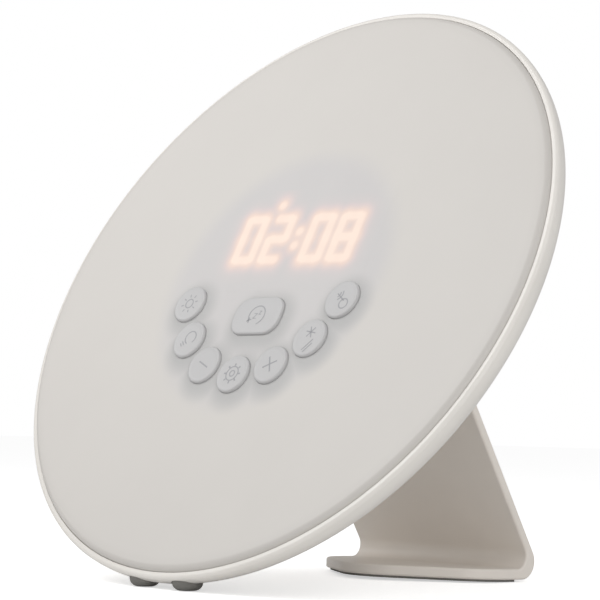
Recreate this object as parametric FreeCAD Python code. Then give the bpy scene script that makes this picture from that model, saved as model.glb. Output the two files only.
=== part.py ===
import FreeCAD, Part
import math
import os

os.makedirs("parts", exist_ok=True)

# Lengths are in millimetres and angles in degrees.
# The head is built upright: X to the right, Y from the front face into the depth,
# Z up the face, with the middle of the front face at the origin. It is then leaned
# back, set on its feet, and the whole clock is centred on its footprint.

# Stance
lean = 28.5

# Fits
sliding_gap = 0.25
seat_gap = 0.15
thread_gap = 0.05

# Rear housing, a round dish: lip, rounded rim, slanted side, shoulder and flat back
rim_radius = 89.4
lip_width = 1.9
lip_depth = 1.2
lip_round = 1.0
rim_straight = 0.3
rim_round = 6.9
side_angle = 36.2
side_width = 20.9
shoulder_round = 110.0
back_radius = 48.0
back_round = 10.0
housing_wall = 2.4
ledge_width = 3.6
rib_count = 12
rib_thickness = 1.4
rib_margin = 1.5

# Front diffuser
diffuser_thickness = 2.0
diffuser_edge_round = 1.7
skirt_width = 2.4
skirt_depth = 4.0

# Keys: seven round ones on an arc, and the wide snooze key inside it
key_radius = 5.65
key_spacing_angle = 25.0
key_clearance = 0.57
key_proud = 0.8
key_edge_round = 0.45
key_flange_reach = 0.6
key_flange_thickness = 1.0
key_stem_radius = 2.2
key_travel = 0.5
snooze_height = -12.2
snooze_width = 18.0
snooze_depth = 11.5
snooze_corner = 4.6

# Switches under the keys
switch_width = 6.0
switch_height = 3.4
plunger_radius = 1.7
plunger_proud = 1.0
plunger_length = 1.8

# Control cup and its board
cup_radius = 40.0
cup_key_gap = 0.9
cup_front_thickness = 1.5
cup_front_round = 1.0
cup_wall = 1.5
cup_flange_thickness = 1.5
cup_flange_edge = 0.1
cup_boss_height = 5.0
cup_boss_floor = 0.5
cup_end_gap = 1.4
stem_gap = 0.7
board_thickness = 1.6
board_edge_gap = 1.0
post_radius = 2.4
post_wall_gap = 1.66
outer_post_angles = [13.4, 90.0, 166.6]
inner_post_places = [(-16.5, -8.0), (16.5, -8.0)]

# Time display
digit_height = 15.4
digit_width = 8.0
digit_pitch = 11.2
digit_base = 6.6
digit_slant = 7.0
colon_gap = 4.2
segment_width = 1.7
segment_gap = 0.25
segment_depth = 1.0
dot_width = 2.0
indicator_offset = -12.3
display_gap = 0.4
display_side_margin = 0.3
display_low_margin = 2.8
display_high_margin = 5.0

# Reflector, ring board and its LEDs
reflector_thickness = 1.5
reflector_slope_width = 12.5
reflector_bend_round = 2.0
led_board_reach = 5.5
led_board_gap = 0.5
led_board_wall_gap = 1.0
led_flat_reach = 6.0
led_count = 16
led_width = 3.5
led_height = 1.9
led_hole_radius = 3.2
led_post_count = 4

# Screws
boss_radius = 3.5
boss_floor = 4.0
boss_clearance = 0.4
housing_screw_angles = [45.0, 135.0, 210.0, 330.0]
screw_radius = 1.3
screw_head_radius = 2.4
screw_head_height = 1.8
screw_recess_gap = 0.3
board_screw_length = 5.0
board_screw_head_radius = 2.2
board_screw_head_height = 1.4

# Main board and what stands on it
main_board_gap = 1.4
main_post_inset = 4.9
main_post_angles = [12.0, 168.0]
main_post_low_gap = 4.4
link_width = 15.2
link_thickness = 2.6
link_length = 4.4
link_height = -12.0
capacitor_radius = 3.15
capacitor_length = 8.0
capacitor_round = 0.4
capacitor_places = [(-27.5, 16.0), (-21.0, 10.0)]
chip_sizes = [(-14.0, -20.0, 10.0, 10.0, 1.4), (14.0, -21.0, 14.0, 11.0, 2.6), (22.0, 6.0, 6.0, 5.0, 1.5)]

# Power socket and aerial outlet
socket_place = (29.0, 16.0)
socket_width = 9.0
socket_body_depth = 10.9
socket_nose_radius = 4.0
socket_bore_radius = 2.8
socket_bore_depth = 9.0
socket_pin_radius = 1.0
socket_pin_inset = 1.0
socket_inset = 0.8
antenna_place = (-34.0, 18.0)
antenna_hole_radius = 1.5

# Speaker behind its grille
speaker_radius = 18.0
speaker_edge_gap = 3.0
speaker_board_gap = 2.3
speaker_gasket_width = 1.8
speaker_gasket_thickness = 0.6
basket_flange_width = 3.0
basket_flange_thickness = 1.2
basket_depth = 6.0
basket_wall = 1.0
basket_bend_round = 0.5
magnet_radius = 9.0
magnet_depth = 4.6
magnet_round = 0.6
cone_thickness = 0.5
dust_cap_radius = 5.0
dust_cap_height = 1.8
dust_cap_round = 1.6
coil_height = 1.0
surround_reach = 0.8
surround_thickness = 0.25
speaker_ring_wall = 1.2
speaker_screw_angles = [0.0, 180.0, 270.0]
speaker_screw_grip = 0.6
speaker_screw_bite = 0.9
speaker_boss_radius = 2.5
washer_head_radius = 3.4
grille_margin = 1.5
grille_pitch = 4.2
grille_hole_radius = 1.1

# Battery bay for two cells side by side, its contacts and its door
cell_length = 44.5
cell_radius = 5.25
cell_play = 0.5
contact_reach = 3.4
contact_thickness = 0.4
contact_width = 8.0
contact_height = 8.0
contact_round = 0.5
bay_wall = 1.5
door_gap = 1.5
door_lip = 1.5
door_thickness = 2.0
door_grip_radius = 7.0
door_grip_depth = 0.9

# Stand: one bent strap, flange on the head, back plate, and base with a pointed tongue
strap_width = 64.6
strap_thickness = 2.6
strap_slope = 58.0
flange_low = -14.5
flange_high = 6.3
flange_thickness = 3.0
corner_outer_round = 5.0
corner_inner_round = 3.5
crotch_round = 2.0
base_thickness = 3.0
base_rise = 1.4
tongue_reach = 38.4
tongue_shoulder = 14.9
tongue_apex_round = 17.4
tongue_corner_round = 17.0
edge_round = 0.7
stand_peg_radius = 3.0
peg_side_margin = 8.3
peg_low_margin = 5.0
peg_high_margin = 6.3
stand_screw_length = 4.4
stand_screw_washer = 1.4
stand_screw_head_height = 1.6

# Rubber pad under the base, and the two feet under the rim
pad_thickness = 0.6
pad_inset = 1.2
pad_setback = 3.0
foot_radius = 4.0
foot_spacing = 16.4
foot_protrusion = 1.3
foot_setback = 0.6
foot_sink = 1.2
foot_edge_round = 0.9

# Internal leads
lead_radius = 0.6
lead_pitch = 1.6
lead_rise = 4.0
lead_inset = 1.7
speaker_lead_inset = 0.9
speaker_lead_angle = 225.0
speaker_lead_drop = 9.0
led_lead_height = -8.0

# How far a cutting shape runs past what it cuts
overrun = 1.0
far = 400.0

# Depths that follow from the stack of pieces, front to back
front_plane = -key_proud
key_flange_front = diffuser_thickness
key_flange_back = key_flange_front + key_flange_thickness
cup_front_depth = key_flange_back + key_travel + cup_key_gap
cup_front_back = cup_front_depth + cup_front_thickness
plunger_front_depth = cup_front_back + stem_gap
switch_front_depth = plunger_front_depth + plunger_proud
control_board_depth = switch_front_depth + switch_height
control_board_back = control_board_depth + board_thickness
cup_end_depth = control_board_back + cup_end_gap
display_front_depth = diffuser_thickness + display_gap
reflector_front_depth = cup_end_depth
reflector_back_depth = reflector_front_depth + reflector_thickness
ledge_depth = skirt_depth + reflector_thickness - sliding_gap
led_board_depth = reflector_back_depth + led_board_gap
led_board_back = led_board_depth + board_thickness
boss_front_depth = reflector_back_depth
boss_seat_depth = boss_front_depth + boss_floor
main_board_depth = control_board_back + link_length
main_board_back = main_board_depth + board_thickness
magnet_front_depth = main_board_back + speaker_board_gap
basket_floor_depth = magnet_front_depth + magnet_depth
basket_end_depth = basket_floor_depth + basket_depth
basket_front_depth = basket_end_depth - basket_flange_thickness
inner_back_depth = basket_end_depth + speaker_gasket_thickness
head_depth = inner_back_depth + housing_wall
door_seat_depth = head_depth - door_thickness
bay_floor_depth = door_seat_depth - 2 * cell_radius - cell_play
rib_front_depth = led_board_back + board_screw_head_height + rib_margin

# Radii and places that follow from one another
diffuser_radius = rim_radius - lip_width
mouth_radius = diffuser_radius + seat_gap
ledge_radius = mouth_radius - ledge_width
rim_arc_depth = lip_depth + lip_round + rim_straight
rim_corner_depth = rim_arc_depth + rim_round * math.tan(math.radians(90 - side_angle) / 2)
shoulder_radius = rim_radius - side_width
shoulder_depth = rim_corner_depth + side_width * math.tan(math.radians(side_angle))
rib_inner_radius = back_radius + rib_margin
rib_outer_radius = shoulder_radius - rib_margin
key_pitch = 2 * (key_radius + key_flange_reach) + key_clearance
key_circle_radius = key_pitch / (2 * math.sin(math.radians(key_spacing_angle) / 2))
round_key_names = ["brightness", "lamp", "minus", "set", "plus", "alarm", "radio"]
housing_screw_circle = cup_radius + boss_radius + boss_clearance
cup_flange_radius = housing_screw_circle + boss_radius + cup_flange_edge
housing_screw_length = boss_floor + reflector_thickness + cup_boss_height - cup_boss_floor
control_board_radius = cup_radius - cup_wall - board_edge_gap
outer_post_circle = cup_radius - cup_wall - post_radius - post_wall_gap
main_board_radius = housing_screw_circle - boss_radius - main_board_gap
main_post_circle = main_board_radius - main_post_inset
side_run = (led_board_back - rim_corner_depth) / math.tan(math.radians(side_angle))
side_wall_radius = rim_radius - side_run - housing_wall / math.sin(math.radians(side_angle))
led_board_outer = side_wall_radius - led_board_wall_gap
led_circle_radius = led_board_outer - led_board_reach
led_board_inner = led_circle_radius - led_board_reach
flat_radius = led_circle_radius + led_flat_reach
brim_radius = flat_radius + reflector_slope_width
slant_run = digit_height * math.tan(math.radians(digit_slant))
digits_width = 3 * digit_pitch + colon_gap + digit_width
display_width = digits_width + segment_width + slant_run + 2 * display_side_margin
display_low = digit_base - display_low_margin
display_high = digit_base + digit_height + display_high_margin
display_height = display_high - display_low
display_middle = (display_high + display_low) / 2
indicator_height = display_high - display_high_margin / 3
speaker_height = back_radius - speaker_edge_gap - speaker_radius
speaker_inner_radius = speaker_radius - basket_flange_width
speaker_screw_circle = speaker_radius + washer_head_radius - speaker_screw_grip
main_post_low = speaker_height - speaker_screw_circle - washer_head_radius - post_radius - main_post_low_gap
grille_radius = speaker_radius - basket_flange_width - grille_margin
bay_width = cell_length + 2 * contact_reach
bay_height = 4 * cell_radius + 2 * cell_play
bay_middle = flange_low - door_gap - door_lip - bay_height / 2
peg_side = strap_width / 2 - peg_side_margin
peg_low = flange_low + peg_low_margin
peg_high = flange_high - peg_high_margin

# Places in the room that follow from the lean
lean_sine = math.sin(math.radians(lean))
lean_cosine = math.cos(math.radians(lean))
rim_arc_radius = rim_radius - rim_round
centre_height = rim_arc_radius * lean_cosine + rim_arc_depth * lean_sine + rim_round + foot_protrusion
foot_y = rim_arc_depth * lean_cosine - rim_arc_radius * lean_sine + foot_setback
foot_top = foot_protrusion + foot_sink


def vec(x, y, z):
    return FreeCAD.Vector(x, y, z)


def fuse(shapes):
    """One solid from several that touch or overlap."""
    joined = shapes[0].multiFuse(shapes[1:])
    return joined.removeSplitter()


def rod(radius, start, end, x=0.0, z=0.0):
    """Round bar along the depth, from one depth to another."""
    return Part.makeCylinder(radius, end - start, vec(x, start, z), vec(0, 1, 0))


def block(width, height, start, end, x=0.0, z=0.0):
    """Box centred on (x, z), from one depth to another."""
    return Part.makeBox(width, end - start, height, vec(x - width / 2, start, z - height / 2))


def rounded_wire(corners, to_point):
    """Closed wire through corners (a, b, radius), with an arc at each rounded one."""
    count = len(corners)
    entries = []
    middles = []
    exits = []
    for index, (a, b, radius) in enumerate(corners):
        before = corners[index - 1]
        after = corners[(index + 1) % count]
        back = (before[0] - a, before[1] - b)
        onward = (after[0] - a, after[1] - b)
        back_length = math.hypot(*back)
        onward_length = math.hypot(*onward)
        back = (back[0] / back_length, back[1] / back_length)
        onward = (onward[0] / onward_length, onward[1] / onward_length)
        inside = math.acos(back[0] * onward[0] + back[1] * onward[1])
        tangent = radius / math.tan(inside / 2)
        bisector = (back[0] + onward[0], back[1] + onward[1])
        bisector_length = math.hypot(*bisector)
        reach = radius / math.sin(inside / 2) - radius
        entries.append((a + back[0] * tangent, b + back[1] * tangent))
        exits.append((a + onward[0] * tangent, b + onward[1] * tangent))
        share = reach / bisector_length
        middles.append((a + bisector[0] * share, b + bisector[1] * share))
    edges = []
    for index in range(count):
        start = to_point(*exits[index - 1])
        entry = to_point(*entries[index])
        leave = to_point(*exits[index])
        edges.append(Part.makeLine(start, entry))
        if corners[index][2] > 0:
            edges.append(Part.Arc(entry, to_point(*middles[index]), leave).toShape())
    return Part.Wire(edges)


def turned(corners):
    """Solid of revolution about the depth axis from corners (radius, depth, round)."""
    wire = rounded_wire(corners, lambda radius, depth: vec(radius, depth, 0))
    return Part.Face(wire).revolve(vec(0, 0, 0), vec(0, 1, 0), 360)


def plate(corners, start, end):
    """Flat plate from corners (x, z, round) on the face, from one depth to another."""
    wire = rounded_wire(corners, lambda x, z: vec(x, start, z))
    return Part.Face(wire).extrude(vec(0, end - start, 0))


def rounded_plate(width, height, corner, start, end, x=0.0, z=0.0):
    """Rectangular plate with rounded corners, centred on (x, z)."""
    half_width = width / 2
    half_height = height / 2
    corners = [
        (x - half_width, z - half_height, corner),
        (x + half_width, z - half_height, corner),
        (x + half_width, z + half_height, corner),
        (x - half_width, z + half_height, corner),
    ]
    return plate(corners, start, end)


def polar(radius, angle):
    turn = math.radians(angle)
    return radius * math.cos(turn), radius * math.sin(turn)


def housing_screw_places():
    return [polar(housing_screw_circle, angle) for angle in housing_screw_angles]


def control_post_places():
    return [polar(outer_post_circle, angle) for angle in outer_post_angles] + inner_post_places


def main_post_places():
    return [polar(main_post_circle, angle) for angle in main_post_angles] + [(0.0, main_post_low)]


def stand_peg_places():
    return [(x, z) for x in (-peg_side, peg_side) for z in (peg_low, peg_high)]


def round_edges_at(solid, depth, radius):
    """Rounds the edges that lie flat at one depth."""
    edges = [edge for edge in solid.Edges if all(abs(v.Point.y - depth) < 1e-6 for v in edge.Vertexes)]
    flat = [edge for edge in edges if abs(edge.BoundBox.YLength) < 1e-6]
    return solid.makeFillet(radius, flat)


def screw(x, z, seat, direction, shank_radius, head_radius, head_height, length):
    """Pan-head screw whose head rests at one depth and whose shank points one way."""
    shank_end = seat + direction * length
    head_end = seat - direction * head_height
    shank = rod(shank_radius, min(seat, shank_end), max(seat, shank_end), x, z)
    head = rod(head_radius, min(seat, head_end), max(seat, head_end), x, z)
    crown = [edge for edge in head.Edges if abs(edge.BoundBox.YMin - head_end) < 1e-6]
    crown = [edge for edge in crown if edge.BoundBox.YLength < 1e-6]
    head = head.makeFillet(head_height / 3, crown)
    return head.fuse(shank)


def lead(points, radius):
    """Round lead along straight runs joined by tangent arcs."""
    edges = []
    start = points[0]
    for before, corner, after in zip(points, points[1:], points[2:]):
        back = (before - corner).normalize()
        onward = (after - corner).normalize()
        inside = back.getAngle(onward)
        run = 0.45 * min((before - corner).Length, (after - corner).Length)
        bend = run * math.tan(inside / 2)
        entry = corner + back * run
        leave = corner + onward * run
        bisector = (back + onward).normalize()
        middle = corner + bisector * (bend / math.sin(inside / 2) - bend)
        edges.append(Part.makeLine(start, entry))
        edges.append(Part.Arc(entry, middle, leave).toShape())
        start = leave
    edges.append(Part.makeLine(start, points[-1]))
    path = Part.Wire(edges)
    section = Part.Wire(Part.makeCircle(radius, points[0], points[1] - points[0]))
    return path.makePipeShell([section], True, False)


# Outline of the housing, and the same outline moved inward by a wall

dish_corners = [
    (rim_radius, lip_depth, lip_round),
    (rim_radius, rim_corner_depth, rim_round),
    (shoulder_radius, shoulder_depth, shoulder_round),
    (back_radius, head_depth, back_round),
]


def inset_line(first, second, distance):
    """Line through two outline points, moved towards the inside of the dish."""
    along = (second[0] - first[0], second[1] - first[1])
    length = math.hypot(*along)
    shift = (-along[1] / length * distance, along[0] / length * distance)
    return (first[0] + shift[0], first[1] + shift[1]), along


def crossing(line_a, line_b):
    """Point where two lines (point, direction) cross."""
    (ax, ay), (adx, ady) = line_a
    (bx, by), (bdx, bdy) = line_b
    scale = ((bx - ax) * bdy - (by - ay) * bdx) / (adx * bdy - ady * bdx)
    return ax + adx * scale, ay + ady * scale


def cavity_corners(wall):
    """Corners of the dish's inside: slanted wall, middle turn and back."""
    rim_line = inset_line(dish_corners[1], dish_corners[2], wall)
    mid_line = inset_line(dish_corners[2], dish_corners[3], wall)
    back_line = ((0.0, head_depth - wall), (1.0, 0.0))
    ledge_line = ((ledge_radius, 0.0), (0.0, 1.0))
    return [
        crossing(ledge_line, rim_line) + (0.0,),
        crossing(rim_line, mid_line) + (shoulder_round,),
        crossing(mid_line, back_line) + (back_round - wall,),
    ]


outer_dish = turned([(0.0, lip_depth, 0.0)] + dish_corners + [(0.0, head_depth, 0.0)])
cavity = turned(
    [(0.0, ledge_depth, 0.0), (ledge_radius, ledge_depth, 0.0)]
    + cavity_corners(housing_wall)
    + [(0.0, inner_back_depth, 0.0)]
)
mouth = rod(mouth_radius, lip_depth - far, ledge_depth)


# Head pieces

def make_rear_housing():
    """Dished shell with lip, ledge, ribs, bosses, battery bay, grille and sockets."""
    shell = outer_dish.cut(fuse([cavity, mouth]))
    inside = []
    for index in range(rib_count):
        rib = Part.makeBox(
            rib_outer_radius - rib_inner_radius,
            head_depth - rib_front_depth,
            rib_thickness,
            vec(rib_inner_radius, rib_front_depth, -rib_thickness / 2),
        )
        rib.rotate(vec(0, 0, 0), vec(0, 1, 0), (index + 0.5) * 360 / rib_count)
        inside.append(rib)
    for x, z in housing_screw_places():
        inside.append(rod(boss_radius, boss_front_depth, head_depth, x, z))
    for x, z in main_post_places():
        inside.append(rod(post_radius, main_board_back, head_depth, x, z))
    for x, z in speaker_screw_places():
        inside.append(rod(speaker_boss_radius, basket_front_depth, head_depth, x, z))
    seat_radius = speaker_radius + seat_gap
    speaker_ring = rod(seat_radius + speaker_ring_wall, basket_front_depth, head_depth, 0, speaker_height)
    speaker_seat = rod(seat_radius, front_plane, inner_back_depth, 0, speaker_height)
    inside.append(speaker_ring.cut(speaker_seat))
    bay_box = block(
        bay_width + 2 * bay_wall,
        bay_height + 2 * bay_wall,
        bay_floor_depth - bay_wall,
        head_depth,
        0,
        bay_middle,
    )
    inside.append(bay_box)
    housing = fuse([shell] + [piece.common(outer_dish) for piece in inside])
    return housing.cut(fuse(housing_holes())).cut(foot_recesses())


def housing_holes():
    """What is cut through the housing's back: bay, socket, aerial, screws, pegs and grille."""
    outside = head_depth + overrun
    inner_start = inner_back_depth - overrun
    holes = [
        block(bay_width, bay_height, bay_floor_depth, outside, 0, bay_middle),
        door_outline(0.0, door_seat_depth, outside),
        rod(socket_nose_radius + seat_gap, main_board_back, outside, *socket_place),
        rod(antenna_hole_radius, inner_start, outside, *antenna_place),
    ]
    for x, z in housing_screw_places():
        holes.append(rod(screw_head_radius + screw_recess_gap, boss_seat_depth, outside, x, z))
        start = boss_front_depth - overrun
        holes.append(rod(screw_radius + seat_gap, start, boss_seat_depth + overrun, x, z))
    for x, z in main_post_places():
        end = main_board_depth + board_screw_length + thread_gap
        holes.append(rod(screw_radius + thread_gap, main_board_back - overrun, end, x, z))
    for x, z in speaker_screw_places():
        end = inner_back_depth + speaker_screw_bite + thread_gap
        holes.append(rod(screw_radius + thread_gap, basket_front_depth - overrun, end, x, z))
    for x, z in stand_peg_places():
        holes.append(rod(stand_peg_radius + seat_gap, inner_start, outside, x, z))
    for x, z in grille_places():
        holes.append(rod(grille_hole_radius, inner_start, outside, x, z + speaker_height))
    return holes


def door_outline(gap, start, end):
    """Plate with the battery door's outline, drawn in by a gap."""
    width = bay_width + 2 * door_lip - 2 * gap
    height = bay_height + 2 * door_lip - 2 * gap
    return rounded_plate(width, height, door_lip, start, end, 0, bay_middle)


def make_battery_door():
    """Door that follows the housing's back, with a thumb hollow near its top edge."""
    door = door_outline(sliding_gap, door_seat_depth, head_depth + overrun).common(outer_dish)
    hollow_height = bay_middle + bay_height / 4
    hollow_depth = head_depth + door_grip_radius - door_grip_depth
    hollow = Part.makeSphere(door_grip_radius, vec(0, hollow_depth, hollow_height))
    return door.cut(hollow)


def make_battery_contacts():
    """Leaf contacts, one at each end of each cell, standing on the bay's end walls."""
    leaves = []
    for side in (-1, 1):
        for row in (-1, 1):
            wall = side * bay_width / 2
            height = bay_middle + row * bay_height / 4
            corners = [
                (wall, bay_floor_depth, 0.0),
                (wall - side * contact_thickness, bay_floor_depth, 0.0),
                (wall - side * contact_reach, bay_floor_depth + contact_height / 2, contact_round),
                (wall - side * contact_thickness, bay_floor_depth + contact_height, 0.0),
                (wall, bay_floor_depth + contact_height, 0.0),
            ]
            base = height - contact_width / 2
            wire = rounded_wire(corners, lambda x, depth, base=base: vec(x, depth, base))
            leaves.append(Part.Face(wire).extrude(vec(0, 0, contact_width)))
    return Part.makeCompound(leaves)


def make_front_diffuser():
    """Milky cover with a rounded edge, a skirt behind it and the key openings."""
    skirt_radius = diffuser_radius - skirt_width
    cover = turned([
        (0.0, 0.0, 0.0),
        (diffuser_radius, 0.0, diffuser_edge_round),
        (diffuser_radius, skirt_depth, 0.0),
        (skirt_radius, skirt_depth, 0.0),
        (skirt_radius, diffuser_thickness, 0.0),
        (0.0, diffuser_thickness, 0.0),
    ])
    openings = [key_outline(name, sliding_gap, front_plane, key_flange_back) for name in key_names()]
    return cover.cut(Part.makeCompound(openings))


def key_names():
    return round_key_names + ["snooze"]


def key_place(name):
    """Middle of a key on the face."""
    if name == "snooze":
        return 0.0, snooze_height
    steps = round_key_names.index(name) - (len(round_key_names) - 1) / 2
    return polar(key_circle_radius, steps * key_spacing_angle - 90)


def key_outline(name, grow, start, end):
    """Prism with a key's outline, grown all round."""
    x, z = key_place(name)
    if name == "snooze":
        width = snooze_width + 2 * grow
        height = snooze_depth + 2 * grow
        return rounded_plate(width, height, snooze_corner + grow, start, end, x, z)
    return rod(key_radius + grow, start, end, x, z)


def make_key(name):
    """Key cap: a rounded top, a flange behind the cover and a stem to the switch."""
    x, z = key_place(name)
    cap = round_edges_at(key_outline(name, 0.0, -key_proud, key_flange_front), -key_proud, key_edge_round)
    flange = key_outline(name, key_flange_reach, key_flange_front, key_flange_back)
    stem = rod(key_stem_radius, key_flange_back, plunger_front_depth, x, z)
    return fuse([cap, flange, stem])


def make_plunger(name):
    """Round plunger that the key's stem presses into its switch."""
    x, z = key_place(name)
    return rod(plunger_radius, plunger_front_depth, plunger_front_depth + plunger_length, x, z)


def make_switch_bodies():
    """Switch cans on the control board, each bored for its plunger."""
    cans = []
    bore_end = plunger_front_depth + plunger_length + key_travel + sliding_gap
    for name in key_names():
        x, z = key_place(name)
        can = block(switch_width, switch_width, switch_front_depth, control_board_depth, x, z)
        cans.append(can.cut(rod(plunger_radius + seat_gap, front_plane, bore_end, x, z)))
    return Part.makeCompound(cans)


def make_control_cup():
    """Round cup that carries the control board, with key guides and display window."""
    inner_radius = cup_radius - cup_wall
    flange_start = cup_end_depth - cup_flange_thickness
    cup = turned([
        (0.0, cup_front_depth, 0.0),
        (cup_radius, cup_front_depth, cup_front_round),
        (cup_radius, flange_start, 0.0),
        (cup_flange_radius, flange_start, 0.0),
        (cup_flange_radius, cup_end_depth, 0.0),
        (inner_radius, cup_end_depth, 0.0),
        (inner_radius, cup_front_back, 0.0),
        (0.0, cup_front_back, 0.0),
    ])
    boss_start = cup_end_depth - cup_boss_height
    post_start = cup_front_depth + cup_front_thickness / 2
    bosses = [rod(boss_radius, boss_start, cup_end_depth, x, z) for x, z in housing_screw_places()]
    posts = [rod(post_radius, post_start, control_board_depth, x, z) for x, z in control_post_places()]
    return fuse([cup] + bosses + posts).cut(fuse(control_cup_holes()))


def control_cup_holes():
    """Display window, key guides and screw holes of the cup."""
    front = cup_front_depth - overrun
    back = cup_front_back + overrun
    width = display_width + 2 * sliding_gap
    height = display_height + 2 * sliding_gap
    holes = [block(width, height, front, back, 0, display_middle)]
    for name in key_names():
        holes.append(rod(key_stem_radius + sliding_gap, front, back, *key_place(name)))
    for x, z in control_post_places():
        start = control_board_back - board_screw_length - thread_gap
        holes.append(rod(screw_radius + thread_gap, start, control_board_depth + overrun, x, z))
    for x, z in housing_screw_places():
        start = boss_seat_depth - housing_screw_length - thread_gap
        holes.append(rod(screw_radius + thread_gap, start, cup_end_depth + overrun, x, z))
    return holes


def make_control_board():
    return round_board(control_board_radius, control_board_depth, control_post_places())


def round_board(radius, start, screw_places):
    """Round board with clearance holes for its screws."""
    end = start + board_thickness
    holes = [rod(screw_radius + seat_gap, start - overrun, end + overrun, x, z) for x, z in screw_places]
    return rod(radius, start, end).cut(Part.makeCompound(holes))


# Time display

def slanted(points, base):
    """Points (x, z) leaned over by the digits' slant about a base line."""
    lean_over = math.tan(math.radians(digit_slant))
    return [(x + (z - base) * lean_over, z) for x, z in points]


def bar(x, z, length, upright):
    """Six-sided bar of a digit, as points (x, z)."""
    half = length / 2 - segment_gap
    side = segment_width / 2
    points = [(-half, 0), (side - half, side), (half - side, side)]
    points = points + [(-x, -z) for x, z in points]
    if upright:
        points = [(v, u) for u, v in reversed(points)]
    return [(x + u, z + v) for u, v in points]


def digit_bars(left):
    """The seven bars of one digit whose lower left corner is at left."""
    right = left + digit_width
    middle = left + digit_width / 2
    half_height = digit_height / 2
    bars = [bar(middle, digit_base + level * half_height, digit_width, False) for level in range(3)]
    for edge in (left, right):
        for level in range(2):
            bars.append(bar(edge, digit_base + (level + 0.5) * half_height, half_height, True))
    return bars


def dot(x, z):
    """Four-sided dot, as points (x, z)."""
    half = dot_width / 2
    return [(x - half, z - half), (x - half, z + half), (x + half, z + half), (x + half, z - half)]


def display_shapes():
    """Outlines of all bars and dots of the display."""
    shapes = []
    for place in range(4):
        left = place * digit_pitch - digits_width / 2
        if place > 1:
            left = left + colon_gap
        shapes = shapes + digit_bars(left)
    colon = 2 * digit_pitch - digits_width / 2 + (colon_gap - digit_pitch + digit_width) / 2
    for level in (1, 2):
        shapes.append(dot(colon, digit_base + level * digit_height / 3))
    shapes.append(dot(indicator_offset, indicator_height))
    middle = digit_base + digit_height / 2
    return [slanted(points, middle) for points in shapes]


def make_display_segments():
    """Light bars and dots, flush with the front of the display block."""
    bars = []
    for points in display_shapes():
        corners = [vec(x, display_front_depth, z) for x, z in points]
        wire = Part.makePolygon(corners + corners[:1])
        bars.append(Part.Face(wire).extrude(vec(0, segment_depth, 0)))
    return Part.makeCompound(bars)


def make_display_block(segments):
    """Display body on the control board, recessed for the light bars."""
    body = block(display_width, display_height, display_front_depth, control_board_depth, 0, display_middle)
    return body.cut(segments)


# Lamps

def make_reflector():
    """White dish behind the diffuser, holed for the lamps and the head screws."""
    flat_end = (flat_radius, reflector_front_depth)
    brim_start = (brim_radius, skirt_depth)
    outer_slope = inset_line(flat_end, brim_start, reflector_thickness)
    outer_brim = crossing(outer_slope, ((0.0, ledge_depth), (1.0, 0.0)))
    outer_flat = crossing(outer_slope, ((0.0, reflector_back_depth), (1.0, 0.0)))
    inner_radius = cup_radius + seat_gap
    dish = turned([
        (inner_radius, reflector_front_depth, 0.0),
        flat_end + (reflector_bend_round,),
        brim_start + (0.0,),
        (diffuser_radius, skirt_depth, 0.0),
        (diffuser_radius, ledge_depth, 0.0),
        outer_brim + (0.0,),
        outer_flat + (reflector_bend_round,),
        (inner_radius, reflector_back_depth, 0.0),
    ])
    posts = [rod(post_radius, reflector_front_depth, led_board_depth, x, z) for x, z in led_screw_places()]
    dish = fuse([dish] + posts)
    start = reflector_front_depth - overrun
    end = led_board_depth + overrun
    holes = [rod(led_hole_radius, start, end, x, z) for x, z in led_places()]
    holes = holes + [rod(screw_radius + seat_gap, start, end, x, z) for x, z in housing_screw_places()]
    holes = holes + [rod(screw_radius + thread_gap, start, end, x, z) for x, z in led_screw_places()]
    return dish.cut(Part.makeCompound(holes))


def led_places():
    return [polar(led_circle_radius, index * 360 / led_count) for index in range(led_count)]


def led_screw_places():
    half_step = 360 / led_count / 2
    angles = [index * 360 / led_post_count + half_step for index in range(led_post_count)]
    return [polar(led_circle_radius, angle) for angle in angles]


def make_led_board():
    """Ring board behind the reflector."""
    board = round_board(led_board_outer, led_board_depth, led_screw_places())
    return board.cut(rod(led_board_inner, led_board_depth, led_board_back))


def make_leds():
    """Lamps on the ring board, each in its reflector hole."""
    start = led_board_depth - led_height
    return Part.makeCompound(
        [block(led_width, led_width, start, led_board_depth, x, z) for x, z in led_places()]
    )


# Main board

def make_main_board():
    return round_board(main_board_radius, main_board_depth, main_post_places())


def make_main_board_parts():
    """Chips on the front of the main board and round capacitors on its back."""
    pieces = []
    for x, z, width, height, thickness in chip_sizes:
        pieces.append(block(width, height, main_board_depth - thickness, main_board_depth, x, z))
    for x, z in capacitor_places:
        can = rod(capacitor_radius, main_board_back, main_board_back + capacitor_length, x, z)
        pieces.append(round_edges_at(can, main_board_back + capacitor_length, capacitor_round))
    return Part.makeCompound(pieces)


def make_board_link():
    """Plug strip between the control board and the main board."""
    return block(link_width, link_thickness, control_board_back, main_board_depth, 0, link_height)


def make_dc_socket():
    """Power socket: body on the main board, round nose in the housing, centre pin."""
    x, z = socket_place
    body_end = main_board_back + socket_body_depth
    nose_end = head_depth - socket_inset
    body = block(socket_width, socket_width, main_board_back, body_end, x, z)
    bore_end = nose_end - socket_bore_depth
    nose = rod(socket_nose_radius, body_end - overrun, nose_end, x, z)
    bore = rod(socket_bore_radius, bore_end, nose_end + overrun, x, z)
    pin = rod(socket_pin_radius, bore_end - overrun, nose_end - socket_pin_inset, x, z)
    return fuse([fuse([body, nose]).cut(bore), pin])


# Speaker

def speaker_screw_places():
    places = [polar(speaker_screw_circle, angle) for angle in speaker_screw_angles]
    return [(x, z + speaker_height) for x, z in places]


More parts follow.
